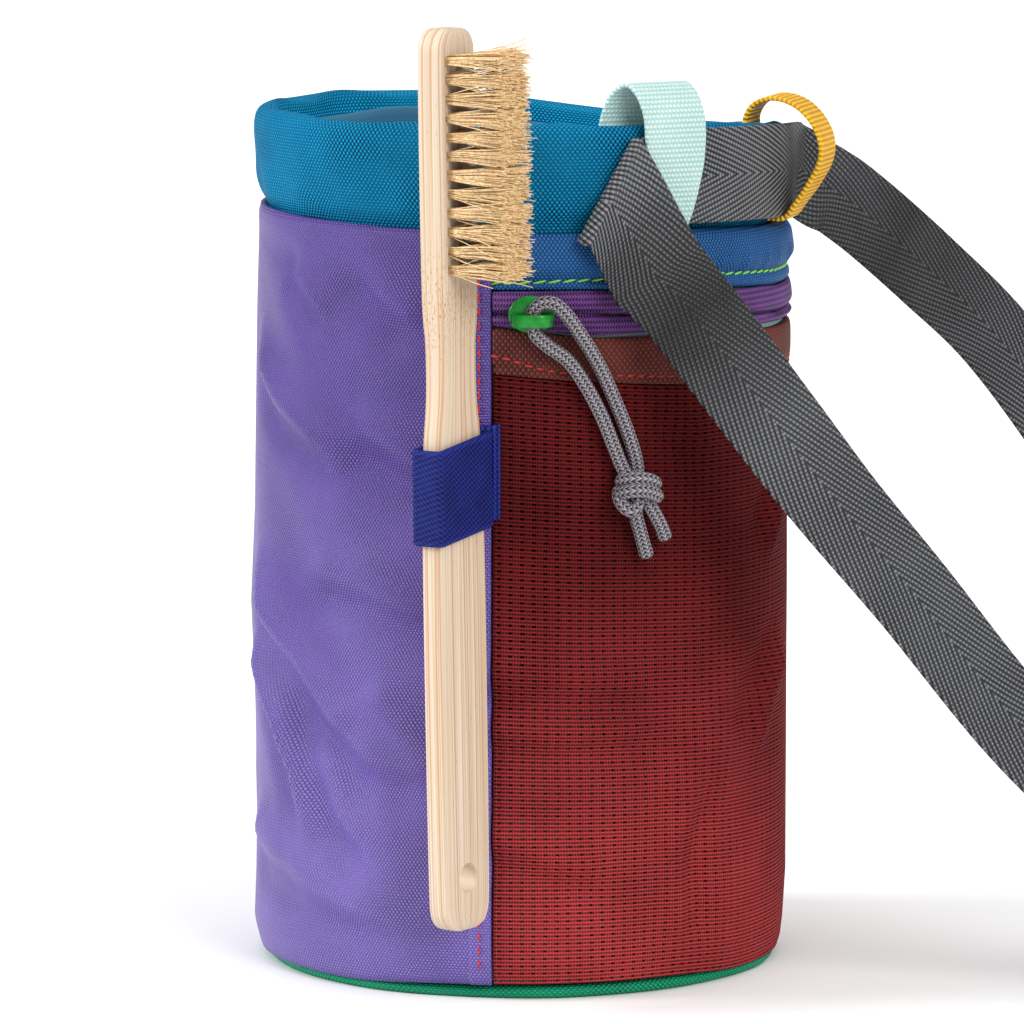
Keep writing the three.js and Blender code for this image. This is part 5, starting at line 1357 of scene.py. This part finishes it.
# Belt loops. A flat mint loop and a narrow mustard one stand over the collar, sewn at its foot outside
# and inside, with the belt between them and the collar.
MINT_ROUTE = [
    (31.4, -2.0, -21.9, 0.5), (31.4, 1.5, -21.9, 0.5), (31.4, 2.35, -20, 0.6), (31.7, 2.35, -15, 0.8),
    (32.1, 2.35, -9, 0.95), (32.3, 2.3, -3, 1), (32.2, 1.7, 2, 1), (31.6, -0.4, 6.2, 1), (30.6, -3.0, 8, 1),
    (29.0, -5.6, 6.2, 1), (27.4, -6.9, 2, 1), (26.6, -6.8, -1, 1), (26.4, -6.75, -4, 1),
]
MUSTARD_ROUTE = [
    (74, -2.0, -22.7, 0.8), (74, 1.8, -22.5, 0.8), (74, 4.2, -19.5, 0.9), (74, 7.2, -15.2, 1),
    (74, 9.6, -10.5, 1), (74, 9.9, -6.5, 1), (74, 8.1, -2.1, 1), (74, 4.1, 1.7, 1), (74, -0.8, 3.0, 1),
    (74, -4.8, 1.6, 1), (74, -6.6, -1.4, 1), (74, -6.5, -4, 1),
]


def belt_loop(name, route, width):
    rows = np.array(route, float)
    centres = curve_through(around(rows[:, 0], BAG_RADIUS + rows[:, 1], RIM_HEIGHT + rows[:, 2]), 150)
    places = np.linspace(0, len(rows) - 1, 151)
    turns = np.radians(np.interp(places, np.arange(len(rows)), rows[:, 0]))
    half = np.interp(places, np.arange(len(rows)), rows[:, 3]) * width / 2
    across = np.stack([np.cos(turns), np.sin(turns), 0 * turns], -1) * half[:, None]
    return strap(name, centres + across, centres - across, 1.0)


mint = Finish("mint_webbing", Roughness=0.6)
along, across = mint.along_across()
cells = mint.weave(along, across, 1.03, 0.48)
rows_tone = (along * (2 * math.pi / 1.03)).math("COSINE")
tone = cells * 0.3 - rows_tone * 0.28 + 0.58 + (mint.noise(8.0) - 0.5) * 0.3
mint.show("Base Color", mint.mix(tone, paint(0.50, 0.78, 0.74), paint(0.93, 0.99, 0.98)))
mint.relief(cells * 0.25 - rows_tone * 0.2 + 0.5, 0.3)
dress(belt_loop("mint_belt_loop", MINT_ROUTE, 15.0), mint, "mint_webbing", "bag", "mint_loop")

mustard = Finish("mustard_webbing", Roughness=0.55)
along, across = mustard.along_across()
ribs = (along * (2 * math.pi / 1.05)).math("SINE")
threads = (across * (2 * math.pi / 0.5)).math("SINE")
tone = ribs * 0.3 + threads * 0.08 + 0.5 + (mustard.noise(3.0) - 0.5) * 0.4
mustard.show("Base Color", mustard.mix(tone, paint(0.78, 0.47, 0.02), paint(1.25, 0.90, 0.24)))
mustard.relief(ribs * 0.45 + threads * 0.05 + 0.5, 0.3)
dress(belt_loop("mustard_belt_loop", MUSTARD_ROUTE, 12.0), mustard, "mustard_webbing", "bag", "mustard_loop")
